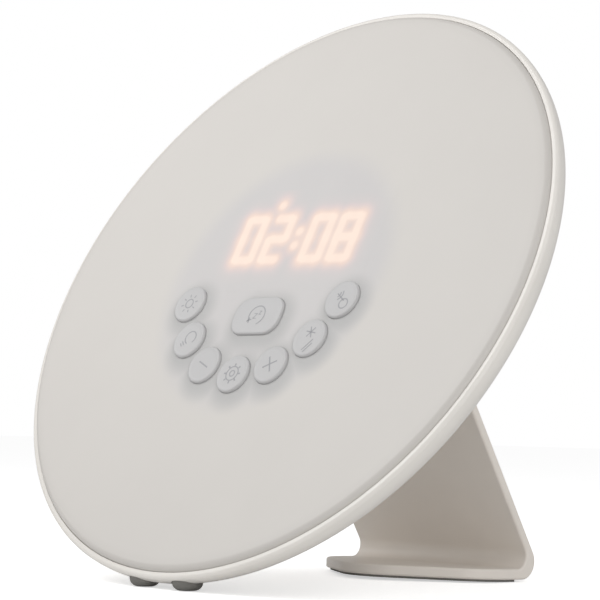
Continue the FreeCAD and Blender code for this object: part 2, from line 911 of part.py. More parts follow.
def grille_places():
    """Hexagonal field of grille holes within a circle."""
    places = []
    rows = int(grille_radius / grille_pitch) + 1
    row_pitch = grille_pitch * math.sqrt(3) / 2
    for row in range(-rows, rows + 1):
        shift = (row % 2) * grille_pitch / 2
        for column in range(-rows, rows + 1):
            x = column * grille_pitch + shift
            z = row * row_pitch
            if math.hypot(x, z) <= grille_radius:
                places.append((x, z))
    return places


def at_speaker(shape):
    shape.translate(vec(0, 0, speaker_height))
    return shape


def make_speaker_basket():
    """Pressed frame: flange, open cone wall and a floor on the magnet."""
    return at_speaker(turned([
        (0.0, basket_floor_depth, 0.0),
        (magnet_radius, basket_floor_depth, basket_bend_round),
        (speaker_inner_radius + basket_wall, basket_front_depth, 0.0),
        (speaker_radius, basket_front_depth, 0.0),
        (speaker_radius, basket_end_depth, 0.0),
        (speaker_inner_radius, basket_end_depth, 0.0),
        (magnet_radius - basket_wall, basket_floor_depth + basket_wall, basket_bend_round),
        (0.0, basket_floor_depth + basket_wall, 0.0),
    ]))


def make_speaker_cone():
    """Paper cone with a rounded cap, its surround resting on the flange's inner edge."""
    inner = speaker_inner_radius
    floor = basket_floor_depth + basket_wall
    neck = floor + coil_height
    former = dust_cap_radius - cone_thickness
    cap_end = neck + cone_thickness + dust_cap_height
    return at_speaker(turned([
        (0.0, cap_end, 0.0),
        (dust_cap_radius, cap_end, dust_cap_round),
        (dust_cap_radius, neck + cone_thickness, 0.0),
        (inner - surround_reach, basket_end_depth + surround_thickness, 0.0),
        (inner + surround_reach, basket_end_depth + surround_thickness, 0.0),
        (inner + surround_reach, basket_end_depth, 0.0),
        (inner - surround_reach + cone_thickness, basket_end_depth, 0.0),
        (dust_cap_radius, neck, 0.0),
        (dust_cap_radius, floor, 0.0),
        (former, floor, 0.0),
        (former, cap_end - cone_thickness, dust_cap_round - cone_thickness),
        (0.0, cap_end - cone_thickness, 0.0),
    ]))


def make_speaker_magnet():
    magnet = rod(magnet_radius, magnet_front_depth, basket_floor_depth)
    return at_speaker(round_edges_at(magnet, magnet_front_depth, magnet_round))


def make_speaker_gasket():
    ring = rod(speaker_radius, basket_end_depth, inner_back_depth)
    return at_speaker(ring.cut(rod(speaker_radius - speaker_gasket_width, front_plane, head_depth)))


# Screws

def make_housing_screws():
    length = housing_screw_length
    return Part.makeCompound([
        screw(x, z, boss_seat_depth, -1, screw_radius, screw_head_radius, screw_head_height, length)
        for x, z in housing_screw_places()
    ])


def board_screw(x, z, seat, direction, length):
    """Small screw that holds a board down."""
    height = board_screw_head_height
    return screw(x, z, seat, direction, screw_radius, board_screw_head_radius, height, length)


def make_board_screws():
    """Short screws of the control board and of the main board."""
    rear = [board_screw(x, z, control_board_back, -1, board_screw_length) for x, z in control_post_places()]
    front = [board_screw(x, z, main_board_depth, 1, board_screw_length) for x, z in main_post_places()]
    return Part.makeCompound(rear + front)


def make_led_board_screws():
    length = led_board_back - reflector_front_depth
    return Part.makeCompound([board_screw(x, z, led_board_back, -1, length) for x, z in led_screw_places()])


def make_speaker_screws():
    """Washer-head screws whose heads also hold the speaker's flange."""
    seat = basket_front_depth
    length = inner_back_depth + speaker_screw_bite - seat
    return Part.makeCompound([
        screw(x, z, seat, 1, screw_radius, washer_head_radius, board_screw_head_height, length)
        for x, z in speaker_screw_places()
    ])


def make_stand_screws():
    """Washer-head screws from inside the head into the stand's pegs."""
    radius = stand_peg_radius + stand_screw_washer
    height = stand_screw_head_height
    return Part.makeCompound([
        screw(x, z, inner_back_depth, 1, screw_radius, radius, height, stand_screw_length)
        for x, z in stand_peg_places()
    ])


# Leads

def make_speaker_leads():
    """Pair of leads from the speaker's flange to the main board."""
    circle = speaker_radius - speaker_lead_inset
    turn = math.degrees(lead_pitch / circle)
    middle_x, middle_z = polar(circle, speaker_lead_angle)
    board_z = speaker_height + middle_z - speaker_lead_drop
    pair = []
    for side in (-0.5, 0.5):
        x, z = polar(circle, speaker_lead_angle + side * turn)
        board_x = middle_x + side * lead_pitch
        points = [
            vec(x, basket_front_depth, z + speaker_height),
            vec(x, basket_floor_depth - lead_radius, z + speaker_height),
            vec(board_x, main_board_back + lead_rise, board_z),
            vec(board_x, main_board_back, board_z),
        ]
        pair.append(lead(points, lead_radius))
    return Part.makeCompound(pair)


def make_led_leads():
    """Pair of leads from the lamp board to the main board."""
    ring_x = -led_board_inner - lead_inset
    board_x = lead_inset - main_board_radius
    pair = []
    for side in (-0.5, 0.5):
        height = led_lead_height + side * lead_pitch
        points = [
            vec(ring_x, led_board_back, height),
            vec(ring_x, led_board_back + lead_rise, height),
            vec(board_x, main_board_back + lead_rise, height),
            vec(board_x, main_board_back, height),
        ]
        pair.append(lead(points, lead_radius))
    return Part.makeCompound(pair)


# Setting the head down in the room

def set_down(shape):
    """Leans a head piece back and lifts it to its height above the table."""
    placed = shape.copy()
    placed.rotate(vec(0, 0, 0), vec(1, 0, 0), -lean)
    placed.translate(vec(0, 0, centre_height))
    return placed


def head_point(height, depth):
    """Place in the room (y, z) of a point on the head's middle plane."""
    y = height * lean_sine + depth * lean_cosine
    z = height * lean_cosine - depth * lean_sine + centre_height
    return y, z


# Feet

def foot_post(x, radius, low, high):
    return Part.makeCylinder(radius, high - low, vec(x, foot_y, low), vec(0, 0, 1))


def foot_recesses():
    """Pockets for the feet, in the upright head."""
    posts = [foot_post(side * foot_spacing / 2, foot_radius + seat_gap, -far, foot_top) for side in (-1, 1)]
    pockets = Part.makeCompound(posts)
    pockets.translate(vec(0, 0, -centre_height))
    pockets.rotate(vec(0, 0, 0), vec(1, 0, 0), lean)
    return pockets


def make_foot(side):
    """Round rubber foot with a softened lower edge."""
    foot = foot_post(side * foot_spacing / 2, foot_radius, 0.0, foot_top)
    lower = [edge for edge in foot.Edges if edge.BoundBox.ZMax < 1e-6]
    return foot.makeFillet(foot_edge_round, lower)


# Stand

strap_turn = math.radians(strap_slope)
strap_down = (math.cos(strap_turn), -math.sin(strap_turn))
outer_line = (head_point(flange_high, head_depth), strap_down)
table_line = ((0.0, 0.0), (1.0, 0.0))
stand_contact_y = crossing(outer_line, table_line)[0] - corner_outer_round / math.tan(strap_turn / 2)
tongue_apex_y = stand_contact_y - tongue_reach
tongue_corner_y = stand_contact_y - tongue_shoulder
pad_rear_y = stand_contact_y - pad_setback
pad_top = pad_thickness / math.cos(math.radians(base_rise))
rise = math.tan(math.radians(base_rise))
tongue_top = pad_top + base_thickness + (pad_rear_y - tongue_apex_y) * rise + overrun


def make_stand():
    """Bent strap: flange on the head, back plate down to the rear corner, pointed base."""
    inner_place = (
        outer_line[0][0] - math.sin(strap_turn) * strap_thickness,
        outer_line[0][1] - math.cos(strap_turn) * strap_thickness,
    )
    inner_line = (inner_place, strap_down)
    base_line = ((pad_rear_y, pad_top), (-1.0, rise))
    top_line = ((pad_rear_y, pad_top + base_thickness), (-1.0, rise))
    flange_up = (lean_sine, lean_cosine)
    seat_line = (head_point(flange_low, head_depth), flange_up)
    face_line = (head_point(flange_low, head_depth + flange_thickness), flange_up)
    tip_line = ((tongue_apex_y, 0.0), (0.0, 1.0))
    corners = [
        seat_line[0] + (0.0,),
        outer_line[0] + (0.0,),
        crossing(outer_line, base_line) + (corner_outer_round,),
        crossing(base_line, tip_line) + (0.0,),
        crossing(top_line, tip_line) + (0.0,),
        crossing(top_line, inner_line) + (corner_inner_round,),
        crossing(inner_line, face_line) + (crotch_round,),
        face_line[0] + (flange_thickness / 2,),
    ]
    half = strap_width / 2
    wire = rounded_wire(corners, lambda y, z: vec(-half, y, z))
    strap = Part.Face(wire).extrude(vec(strap_width, 0, 0))
    strap = strap.cut(tongue_waste(0.0))
    sides = [edge for edge in strap.Edges if side_edge(edge)]
    strap = strap.makeFillet(edge_round, sides)
    return strap.fuse(stand_pegs()).removeSplitter().cut(stand_peg_bores())


def side_edge(edge):
    """True for the edges round the strap's two sides and its tongue."""
    box = edge.BoundBox
    half = strap_width / 2
    near = 1e-4
    on_side = box.XMin > half - near or box.XMax < near - half
    across = near < box.XLength < strap_width - near
    upright = box.XLength < near and box.YLength < near
    return (on_side or across) and not upright


def tongue_waste(inset):
    """What is cut off the base to give the tongue its pointed, rounded outline."""
    half = strap_width / 2 - inset
    turn = math.atan2(tongue_corner_y - tongue_apex_y, strap_width / 2)
    apex_y = tongue_apex_y + inset / math.cos(turn)
    corner_y = apex_y + half * math.tan(turn)
    rear_y = tongue_corner_y + tongue_corner_round
    corners = [
        (-half, rear_y + overrun, 0.0),
        (-half, corner_y, tongue_corner_round - inset),
        (0.0, apex_y, tongue_apex_round - inset),
        (half, corner_y, tongue_corner_round - inset),
        (half, rear_y + overrun, 0.0),
    ]
    height = tongue_top + overrun
    wire = rounded_wire(corners, lambda x, y: vec(x, y, -overrun))
    kept = Part.Face(wire).extrude(vec(0, 0, height))
    front_y = tongue_apex_y - overrun
    width = strap_width + 2 * overrun
    around = Part.makeBox(width, rear_y - front_y, height, vec(-width / 2, front_y, -overrun))
    return around.cut(kept)


def stand_pegs():
    """Pegs on the flange that fill the holes in the housing's back."""
    start = inner_back_depth + thread_gap
    end = head_depth + flange_thickness / 2
    pegs = [rod(stand_peg_radius, start, end, x, z) for x, z in stand_peg_places()]
    return set_down(Part.makeCompound(pegs))


def stand_peg_bores():
    start = inner_back_depth - overrun
    end = inner_back_depth + stand_screw_length + thread_gap
    radius = screw_radius + thread_gap
    bores = [rod(radius, start, end, x, z) for x, z in stand_peg_places()]
    return set_down(Part.makeCompound(bores))


def make_stand_pad():
    """Rubber sheet under the base, a little inside its outline."""
    half = strap_width / 2 - pad_inset
    lift = (pad_rear_y - tongue_apex_y) * rise
    corners = [
        vec(-half, pad_rear_y, 0),
        vec(-half, tongue_apex_y, lift),
        vec(-half, tongue_apex_y, lift + pad_top),
        vec(-half, pad_rear_y, pad_top),
    ]
    sheet = Part.Face(Part.makePolygon(corners + corners[:1])).extrude(vec(2 * half, 0, 0))
    return sheet.cut(tongue_waste(pad_inset))


def build():
    """All pieces by name, each in its place in the room."""
    segments = make_display_segments()
    upright = {
        "front_diffuser": make_front_diffuser(),
        "rear_housing": make_rear_housing(),
        "battery_door": make_battery_door(),
        "battery_contacts": make_battery_contacts(),
        "control_cup": make_control_cup(),
        "control_board": make_control_board(),
        "switch_bodies": make_switch_bodies(),
        "display_block": make_display_block(segments),
        "display_segments": segments,
        "reflector": make_reflector(),
        "led_board": make_led_board(),
        "leds": make_leds(),
        "main_board": make_main_board(),
        "main_board_parts": make_main_board_parts(),
        "board_link": make_board_link(),
        "dc_socket": make_dc_socket(),
        "speaker_basket": make_speaker_basket(),
        "speaker_cone": make_speaker_cone(),
        "speaker_magnet": make_speaker_magnet(),
        "speaker_gasket": make_speaker_gasket(),
        "speaker_leads": make_speaker_leads(),
        "led_leads": make_led_leads(),
        "housing_screws": make_housing_screws(),
        "board_screws": make_board_screws(),
        "led_board_screws": make_led_board_screws(),
        "speaker_screws": make_speaker_screws(),
        "stand_screws": make_stand_screws(),
    }
    for name in key_names():
        upright["key_" + name] = make_key(name)
        upright["plunger_" + name] = make_plunger(name)
    pieces = {name: set_down(shape) for name, shape in upright.items()}
    pieces["stand"] = make_stand()
    pieces["stand_pad"] = make_stand_pad()
    pieces["foot_left"] = make_foot(-1)
    pieces["foot_right"] = make_foot(1)
    return pieces


def centred(pieces):
    """Moves all pieces so that the footprint's middle is at the origin."""
    outer = ("front_diffuser", "rear_housing", "stand")
    boxes = [pieces[name].optimalBoundingBox(False, False) for name in outer]
    front = min(box.YMin for box in boxes)
    back = max(box.YMax for box in boxes)
    for shape in pieces.values():
        shape.translate(vec(0, -(front + back) / 2, 0))
    return pieces


for name, shape in centred(build()).items():
    shape.exportStep("parts/" + name + ".step")
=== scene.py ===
"""Looks, light and camera for the sunrise alarm clock.

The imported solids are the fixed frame. The pieces that are seen from outside are modelled again here,
finer, inside the same outlines, and every solid that stays gets its finish.
"""

import logging
import math
from contextlib import contextmanager
from dataclasses import dataclass
from enum import Enum
from typing import Callable, Iterator

import bmesh
import bpy
from mathutils import Matrix, Vector


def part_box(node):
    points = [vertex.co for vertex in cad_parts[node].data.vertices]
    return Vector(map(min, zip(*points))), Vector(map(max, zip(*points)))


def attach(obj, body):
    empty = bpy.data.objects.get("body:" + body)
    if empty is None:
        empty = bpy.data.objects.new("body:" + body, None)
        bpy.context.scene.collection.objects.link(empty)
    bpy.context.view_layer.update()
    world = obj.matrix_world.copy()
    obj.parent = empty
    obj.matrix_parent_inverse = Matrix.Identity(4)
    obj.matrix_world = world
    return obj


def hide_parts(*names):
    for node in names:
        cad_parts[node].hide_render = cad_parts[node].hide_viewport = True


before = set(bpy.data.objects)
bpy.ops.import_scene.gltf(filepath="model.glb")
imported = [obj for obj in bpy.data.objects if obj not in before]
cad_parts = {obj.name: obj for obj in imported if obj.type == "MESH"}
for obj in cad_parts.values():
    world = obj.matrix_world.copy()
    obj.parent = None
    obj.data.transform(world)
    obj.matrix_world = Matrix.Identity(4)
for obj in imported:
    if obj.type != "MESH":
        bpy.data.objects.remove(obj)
LOG = logging.getLogger("clock")

Point = tuple[float, float]
Place = tuple[float, float, float]
Colour = tuple[float, float, float]

# Lengths are in millimetres, but for NEAR, and arcs go in steps of degrees
MM = 0.001
NEAR = 0.01 * MM
INK_HEIGHT = 0.05
CUT_PAST = 1.0
FINE_DETAIL = 3.0
CLOUD_SPAN = (0.3, 0.7)
ARC_STEP = 9.0
COARSE_STEP = 15.0
RING_STEPS = 40
SMOOTH_ANGLE = math.radians(30)
SHARP_ANGLE = math.radians(35)
WHITE = (1.0, 1.0, 1.0)


def srgb(red: float, green: float, blue: float) -> Colour:
    """Turns a colour of 0 to 255 on screen into a linear one.

    Args:
        red: Red share.
        green: Green share.
        blue: Blue share.

    Returns:
        The linear colour.
    """
    shares = (red / 255, green / 255, blue / 255)
    return tuple(s / 12.92 if s <= 0.04045 else ((s + 0.055) / 1.055) ** 2.4 for s in shares)


# Stance of the head


@dataclass(frozen=True)
class Stance:
    """Where the leaned head stands: its own axes are X right, Y into the depth and Z up the face."""

    lean: float = math.radians(28.5)
    board_depth: float = 11.8 * MM

    def centre(self) -> Vector:
        """Finds the middle of the face from the round control board, whose box is centred on the axis.

        Returns:
            The middle of the face, in the room.
        """
        low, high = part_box("control_board")
        normal = Vector((0, math.cos(self.lean), -math.sin(self.lean)))
        return (low + high) / 2 - normal * self.board_depth

    def matrix(self) -> Matrix:
        """Returns the placing of the head's own axes in the room."""
        return Matrix.Translation(self.centre()) @ Matrix.Rotation(-self.lean, 4, "X")


STANCE = Stance()


# Modelling by hand


def only(piece: bpy.types.Object) -> None:
    """Makes a piece the one that is selected and active.

    Args:
        piece: The piece to work on.
    """
    bpy.ops.object.select_all(action="DESELECT")
    piece.select_set(True)
    bpy.context.view_layer.objects.active = piece


@contextmanager
def editing(piece: bpy.types.Object, kind: str = "VERT") -> Iterator[None]:
    """Opens a piece in edit mode with nothing selected.

    Args:
        piece: The piece to edit.
        kind: VERT, EDGE or FACE selection.

    Yields:
        Nothing.
    """
    only(piece)
    bpy.ops.object.mode_set(mode="EDIT")
    bpy.ops.mesh.select_mode(type=kind)
    bpy.ops.mesh.select_all(action="DESELECT")
    yield
    bpy.ops.object.mode_set(mode="OBJECT")


def pick(piece: bpy.types.Object, kind: str, wanted: Callable) -> None:
    """Selects the vertices, edges or faces that pass a test, in edit mode.

    Args:
        piece: The piece in edit mode.
        kind: "verts", "edges" or "faces".
        wanted: The test, given one element.
    """
    mesh = bmesh.from_edit_mesh(piece.data)
    for element in getattr(mesh, kind):
        element.select_set(bool(wanted(element)))
    mesh.select_flush_mode()
    bmesh.update_edit_mesh(piece.data)


def rounded(corners: list[tuple[float, float, float]], step: float = ARC_STEP) -> list[Point]:
    """Outline through corners with rounded ones as arcs.

    Args:
        corners: (a, b, radius) of each corner, in order, closed.
        step: Degrees between points of an arc.

    Returns:
        The outline's points.
    """
    points: list[Point] = []
    count = len(corners)
    for index, (a, b, radius) in enumerate(corners):
        if radius <= 0:
            points.append((a, b))
            continue
        here = Vector((a, b))
        back = (Vector(corners[index - 1][:2]) - here).normalized()
        onward = (Vector(corners[(index + 1) % count][:2]) - here).normalized()
        inside = back.angle(onward)
        bisector = (back + onward).normalized()
        middle = here + bisector * (radius / math.sin(inside / 2))
        first = here + back * (radius / math.tan(inside / 2)) - middle
        last = here + onward * (radius / math.tan(inside / 2)) - middle
        sweep = first.angle_signed(last)
        steps = max(2, math.ceil(abs(math.degrees(sweep)) / step))
        for place in range(steps + 1):
            turn = Matrix.Rotation(-sweep * place / steps, 2)
            points.append(tuple(middle + turn @ first))
    return points


def drawn(name: str, points: list[Vector], closed: bool = True) -> bpy.types.Object:
    """Draws a line vertex by vertex, each extruded from the last.

    Args:
        name: The piece's name.
        points: Where the line goes.
        closed: Whether the last point joins the first.

    Returns:
        The new piece, a line of edges.
    """
    bpy.ops.object.select_all(action="DESELECT")
    bpy.ops.mesh.primitive_plane_add(size=MM, location=(0, 0, 0))
    piece = bpy.context.object
    piece.name = name
    with editing(piece):
        bpy.ops.mesh.select_all(action="SELECT")
        bpy.ops.mesh.merge(type="CENTER")
        bpy.ops.transform.translate(value=points[0])
        for before, after in zip(points, points[1:]):
            bpy.ops.mesh.extrude_vertices_move(TRANSFORM_OT_translate={"value": after - before})
        if closed:
            bpy.ops.mesh.select_all(action="SELECT")
            bpy.ops.mesh.edge_face_add()
    return piece


def rectangle(half: float, rise: float, middle: float, corner: float = 0.0) -> list[Point]:
    """Draws a rectangle on the face, across its middle line.

    Args:
        half: Half its width.
        rise: Half its height.
        middle: Place of its middle up the face.
        corner: Radius of its corners.

    Returns:
        The outline's points.
    """
    corners = [(-half, middle - rise), (half, middle - rise), (half, middle + rise), (-half, middle + rise)]
    return rounded([(x, z, corner) for x, z in corners])


def prism(outline: list[Point], start: float, end: float) -> bpy.types.Object:
    """Plate with an outline on the face, from one depth to another, in the head's axes.

    Args:
        outline: Points (x, z) in millimetres.
        start: Front depth in millimetres.
        end: Back depth in millimetres.

    Returns:
        The plate.
    """
    piece = drawn("plate", [Vector((x, start, z)) * MM for x, z in outline])
    with editing(piece, "FACE"):
        thickened(end - start)
    return piece


def thickened(depth: float) -> None:
    """Extrudes the face being edited into the depth and closes the shape.

    Args:
        depth: How far, in millimetres.
    """
    bpy.ops.mesh.select_all(action="SELECT")
    bpy.ops.mesh.extrude_region_move(TRANSFORM_OT_translate={"value": (0, depth * MM, 0)})
    outward()


def outward() -> None:
    """Merges the double points of the closed shape being edited and turns its faces outwards."""
    bpy.ops.mesh.select_all(action="SELECT")
    bpy.ops.mesh.remove_doubles(threshold=MM / 1000)
    bpy.ops.mesh.normals_make_consistent(inside=False)


def turned(name: str, outline: list[Point], steps: int) -> bpy.types.Object:
    """Spins an outline (radius, depth) about the head's depth axis.

    Args:
        name: The piece's name.
        outline: Points in millimetres, its ends on the axis or joined.
        steps: Steps round the full turn.

    Returns:
        The closed round piece.
    """
    on_axis = outline[0][0] == 0 and outline[-1][0] == 0
    path = outline if on_axis else outline + outline[:1]
    piece = drawn(name, [Vector((r, d, 0)) * MM for r, d in path], closed=False)
    with editing(piece):
        bpy.ops.mesh.select_all(action="SELECT")
        bpy.ops.mesh.spin(
            steps=steps, angle=math.tau, center=(0, 0, 0), axis=(0, 1, 0), use_auto_merge=True,
        )
        outward()
    return piece


def applied(piece: bpy.types.Object) -> bpy.types.Object:
    """Puts a piece's place, turn and size into its mesh.

    Args:
        piece: The piece.

    Returns:
        The same piece.
    """
    only(piece)
    bpy.ops.object.transform_apply(location=True, rotation=True, scale=True)
    return piece


def bar(radius: float, length: float, place: Place, sides: int, turn: float = 0.0) -> bpy.types.Object:
    """Round bar, in metres.

    Args:
        radius: Its radius.
        length: Its length.
        place: Its middle.
        sides: Its sides.
        turn: Turn about X; 0 is upright.

    Returns:
        The bar.
    """
    bpy.ops.object.select_all(action="DESELECT")
    bpy.ops.mesh.primitive_cylinder_add(
        vertices=sides, radius=radius, depth=length, location=place, rotation=(turn, 0, 0),
    )
    return applied(bpy.context.object)


def rod(radius: float, start: float, end: float, place: Point, sides: int = 48) -> bpy.types.Object:
    """Round bar along the head's depth, in millimetres.

    Args:
        radius: Its radius.
        start: Front depth.
        end: Back depth.
        place: Its place (x, z) on the face.
        sides: Its sides.

    Returns:
        The bar.
    """
    middle = (place[0] * MM, (start + end) / 2 * MM, place[1] * MM)
    return bar(radius * MM, (end - start) * MM, middle, sides, math.pi / 2)


def dash(u: float, v: float, length: float, angle: float, width: float) -> bpy.types.Object:
    """Short straight bar of a printed sign, flat on the face.

    Args:
        u: Place across, in millimetres.
        v: Place up, in millimetres.
        length: Length in millimetres.
        angle: Turn from level, in degrees.
        width: Width of the line in millimetres.

    Returns:
        The bar.
    """
    bpy.ops.object.select_all(action="DESELECT")
    bpy.ops.mesh.primitive_cube_add(
        size=MM, location=(u * MM, 0, v * MM), rotation=(0, -math.radians(angle), 0),
        scale=(length, INK_HEIGHT, width),
    )
    return applied(bpy.context.object)


def arc(u: float, v: float, radius: float, start: float, sweep: float, width: float) -> bpy.types.Object:
    """Ring, or a part of one, of a printed sign.

    Args:
        u: Middle across, in millimetres.
        v: Middle up, in millimetres.
        radius: Radius of the line's middle in millimetres.
        start: Where it starts, in degrees from the right, counter-clockwise.
        sweep: How far it goes, in degrees; 360 for a ring.
        width: Width of the line in millimetres.

    Returns:
        The ring or arc.
    """
    near, far, half = radius - width / 2, radius + width / 2, INK_HEIGHT / 2
    section = [(near, -half), (far, -half), (far, half), (near, half)]
    if sweep >= 360:
        piece = turned("ring", section, RING_STEPS)
    else:
        piece = drawn("arc", [Vector((r, d, 0)) * MM for r, d in section])
        with editing(piece):
            bpy.ops.mesh.select_all(action="SELECT")
            steps = max(4, round(sweep / ARC_STEP))
            bpy.ops.mesh.spin(steps=steps, angle=-math.radians(sweep), center=(0, 0, 0), axis=(0, 1, 0))
            outward()
    piece.rotation_euler = (0, -math.radians(start), 0)
    return shifted(piece, u, 0, v)


def shifted(piece: bpy.types.Object, x: float, depth: float, z: float) -> bpy.types.Object:
    """Moves a piece in the head's axes, in millimetres, and keeps the place in its mesh."""
    piece.location = Vector((x, depth, z)) * MM
    return applied(piece)


def sharp(edge: bmesh.types.BMEdge) -> bool:
    """Says whether a closed piece's edge is sharp enough to be rounded."""
    return edge.is_manifold and edge.calc_face_angle(0.0) > SHARP_ANGLE


def eased_edges(piece: bpy.types.Object, wanted: Callable, width: float, segments: int = 2) -> None:
    """Rounds the sharp edges that pass a test.

    Args:
        piece: The piece, in the head's axes.
        wanted: The test, given one edge.
        width: Width of the rounding in millimetres.
        segments: Steps across it.
    """
    with editing(piece, "EDGE"):
        pick(piece, "edges", lambda edge: sharp(edge) and wanted(edge))
        bpy.ops.mesh.bevel(offset=width * MM, segments=segments, affect="EDGES", clamp_overlap=True)


def copied(piece: bpy.types.Object) -> bpy.types.Object:
    """Copies a piece with a mesh of its own.

    Args:
        piece: The piece.

    Returns:
        The copy.
    """
    twin = piece.copy()
    twin.data = piece.data.copy()
    bpy.context.scene.collection.objects.link(twin)
    return twin


def half_width(node: str) -> float:
    """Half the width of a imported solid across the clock, in millimetres."""
    low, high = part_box(node)
    return (high.x - low.x) / 2 / MM


def joined(name: str, pieces: list[bpy.types.Object]) -> bpy.types.Object:
    """Joins pieces into one object.

    Args:
        name: The joined piece's name.
        pieces: The pieces, at least one.

    Returns:
        The joined piece.
    """
    only(pieces[0])
    for piece in pieces:
        piece.select_set(True)
    if len(pieces) > 1:
        bpy.ops.object.join()
    pieces[0].name = name
    return pieces[0]


class Joint(Enum):
    """How one shape is put together with another."""

    ADD = "UNION"
    CUT = "DIFFERENCE"


def combined(piece: bpy.types.Object, tool: bpy.types.Object, joint: Joint) -> None:
    """Joins to a piece, or cuts from it, the shape of a tool, which is then removed.

    Args:
        piece: The piece that stays.
        tool: The shape to add or cut.
        joint: Whether the tool is added or cut.
    """
    only(piece)
    modifier = piece.modifiers.new("shape", "BOOLEAN")
    modifier.operation = joint.value
    modifier.solver = "EXACT"
    modifier.object = tool
    bpy.ops.object.modifier_apply(modifier=modifier.name)
    bpy.data.objects.remove(tool)


def shaded(piece: bpy.types.Object) -> None:
    """Shades a piece smooth, but for its sharper edges."""
    only(piece)
    bpy.ops.object.shade_smooth_by_angle(angle=SMOOTH_ANGLE)


def evened(piece: bpy.types.Object) -> None:
    """Shades a piece smooth, but for its sharper edges, and keeps its large faces flat.

    Args:
        piece: The piece.
    """
    shaded(piece)
    modifier = piece.modifiers.new("shading", "WEIGHTED_NORMAL")
    modifier.mode = "FACE_AREA"
    modifier.weight = 100
    modifier.keep_sharp = True
    bpy.ops.object.modifier_apply(modifier=modifier.name)


def set_down(piece: bpy.types.Object) -> None:
    """Moves a piece modelled in the head's axes to its place in the room."""
    piece.matrix_world = STANCE.matrix() @ piece.matrix_world
    applied(piece)


def dressed(piece: bpy.types.Object, material: bpy.types.Material) -> None:
    """Gives a piece one material all over."""
    piece.data.materials.clear()
    piece.data.materials.append(material)


# Finishes


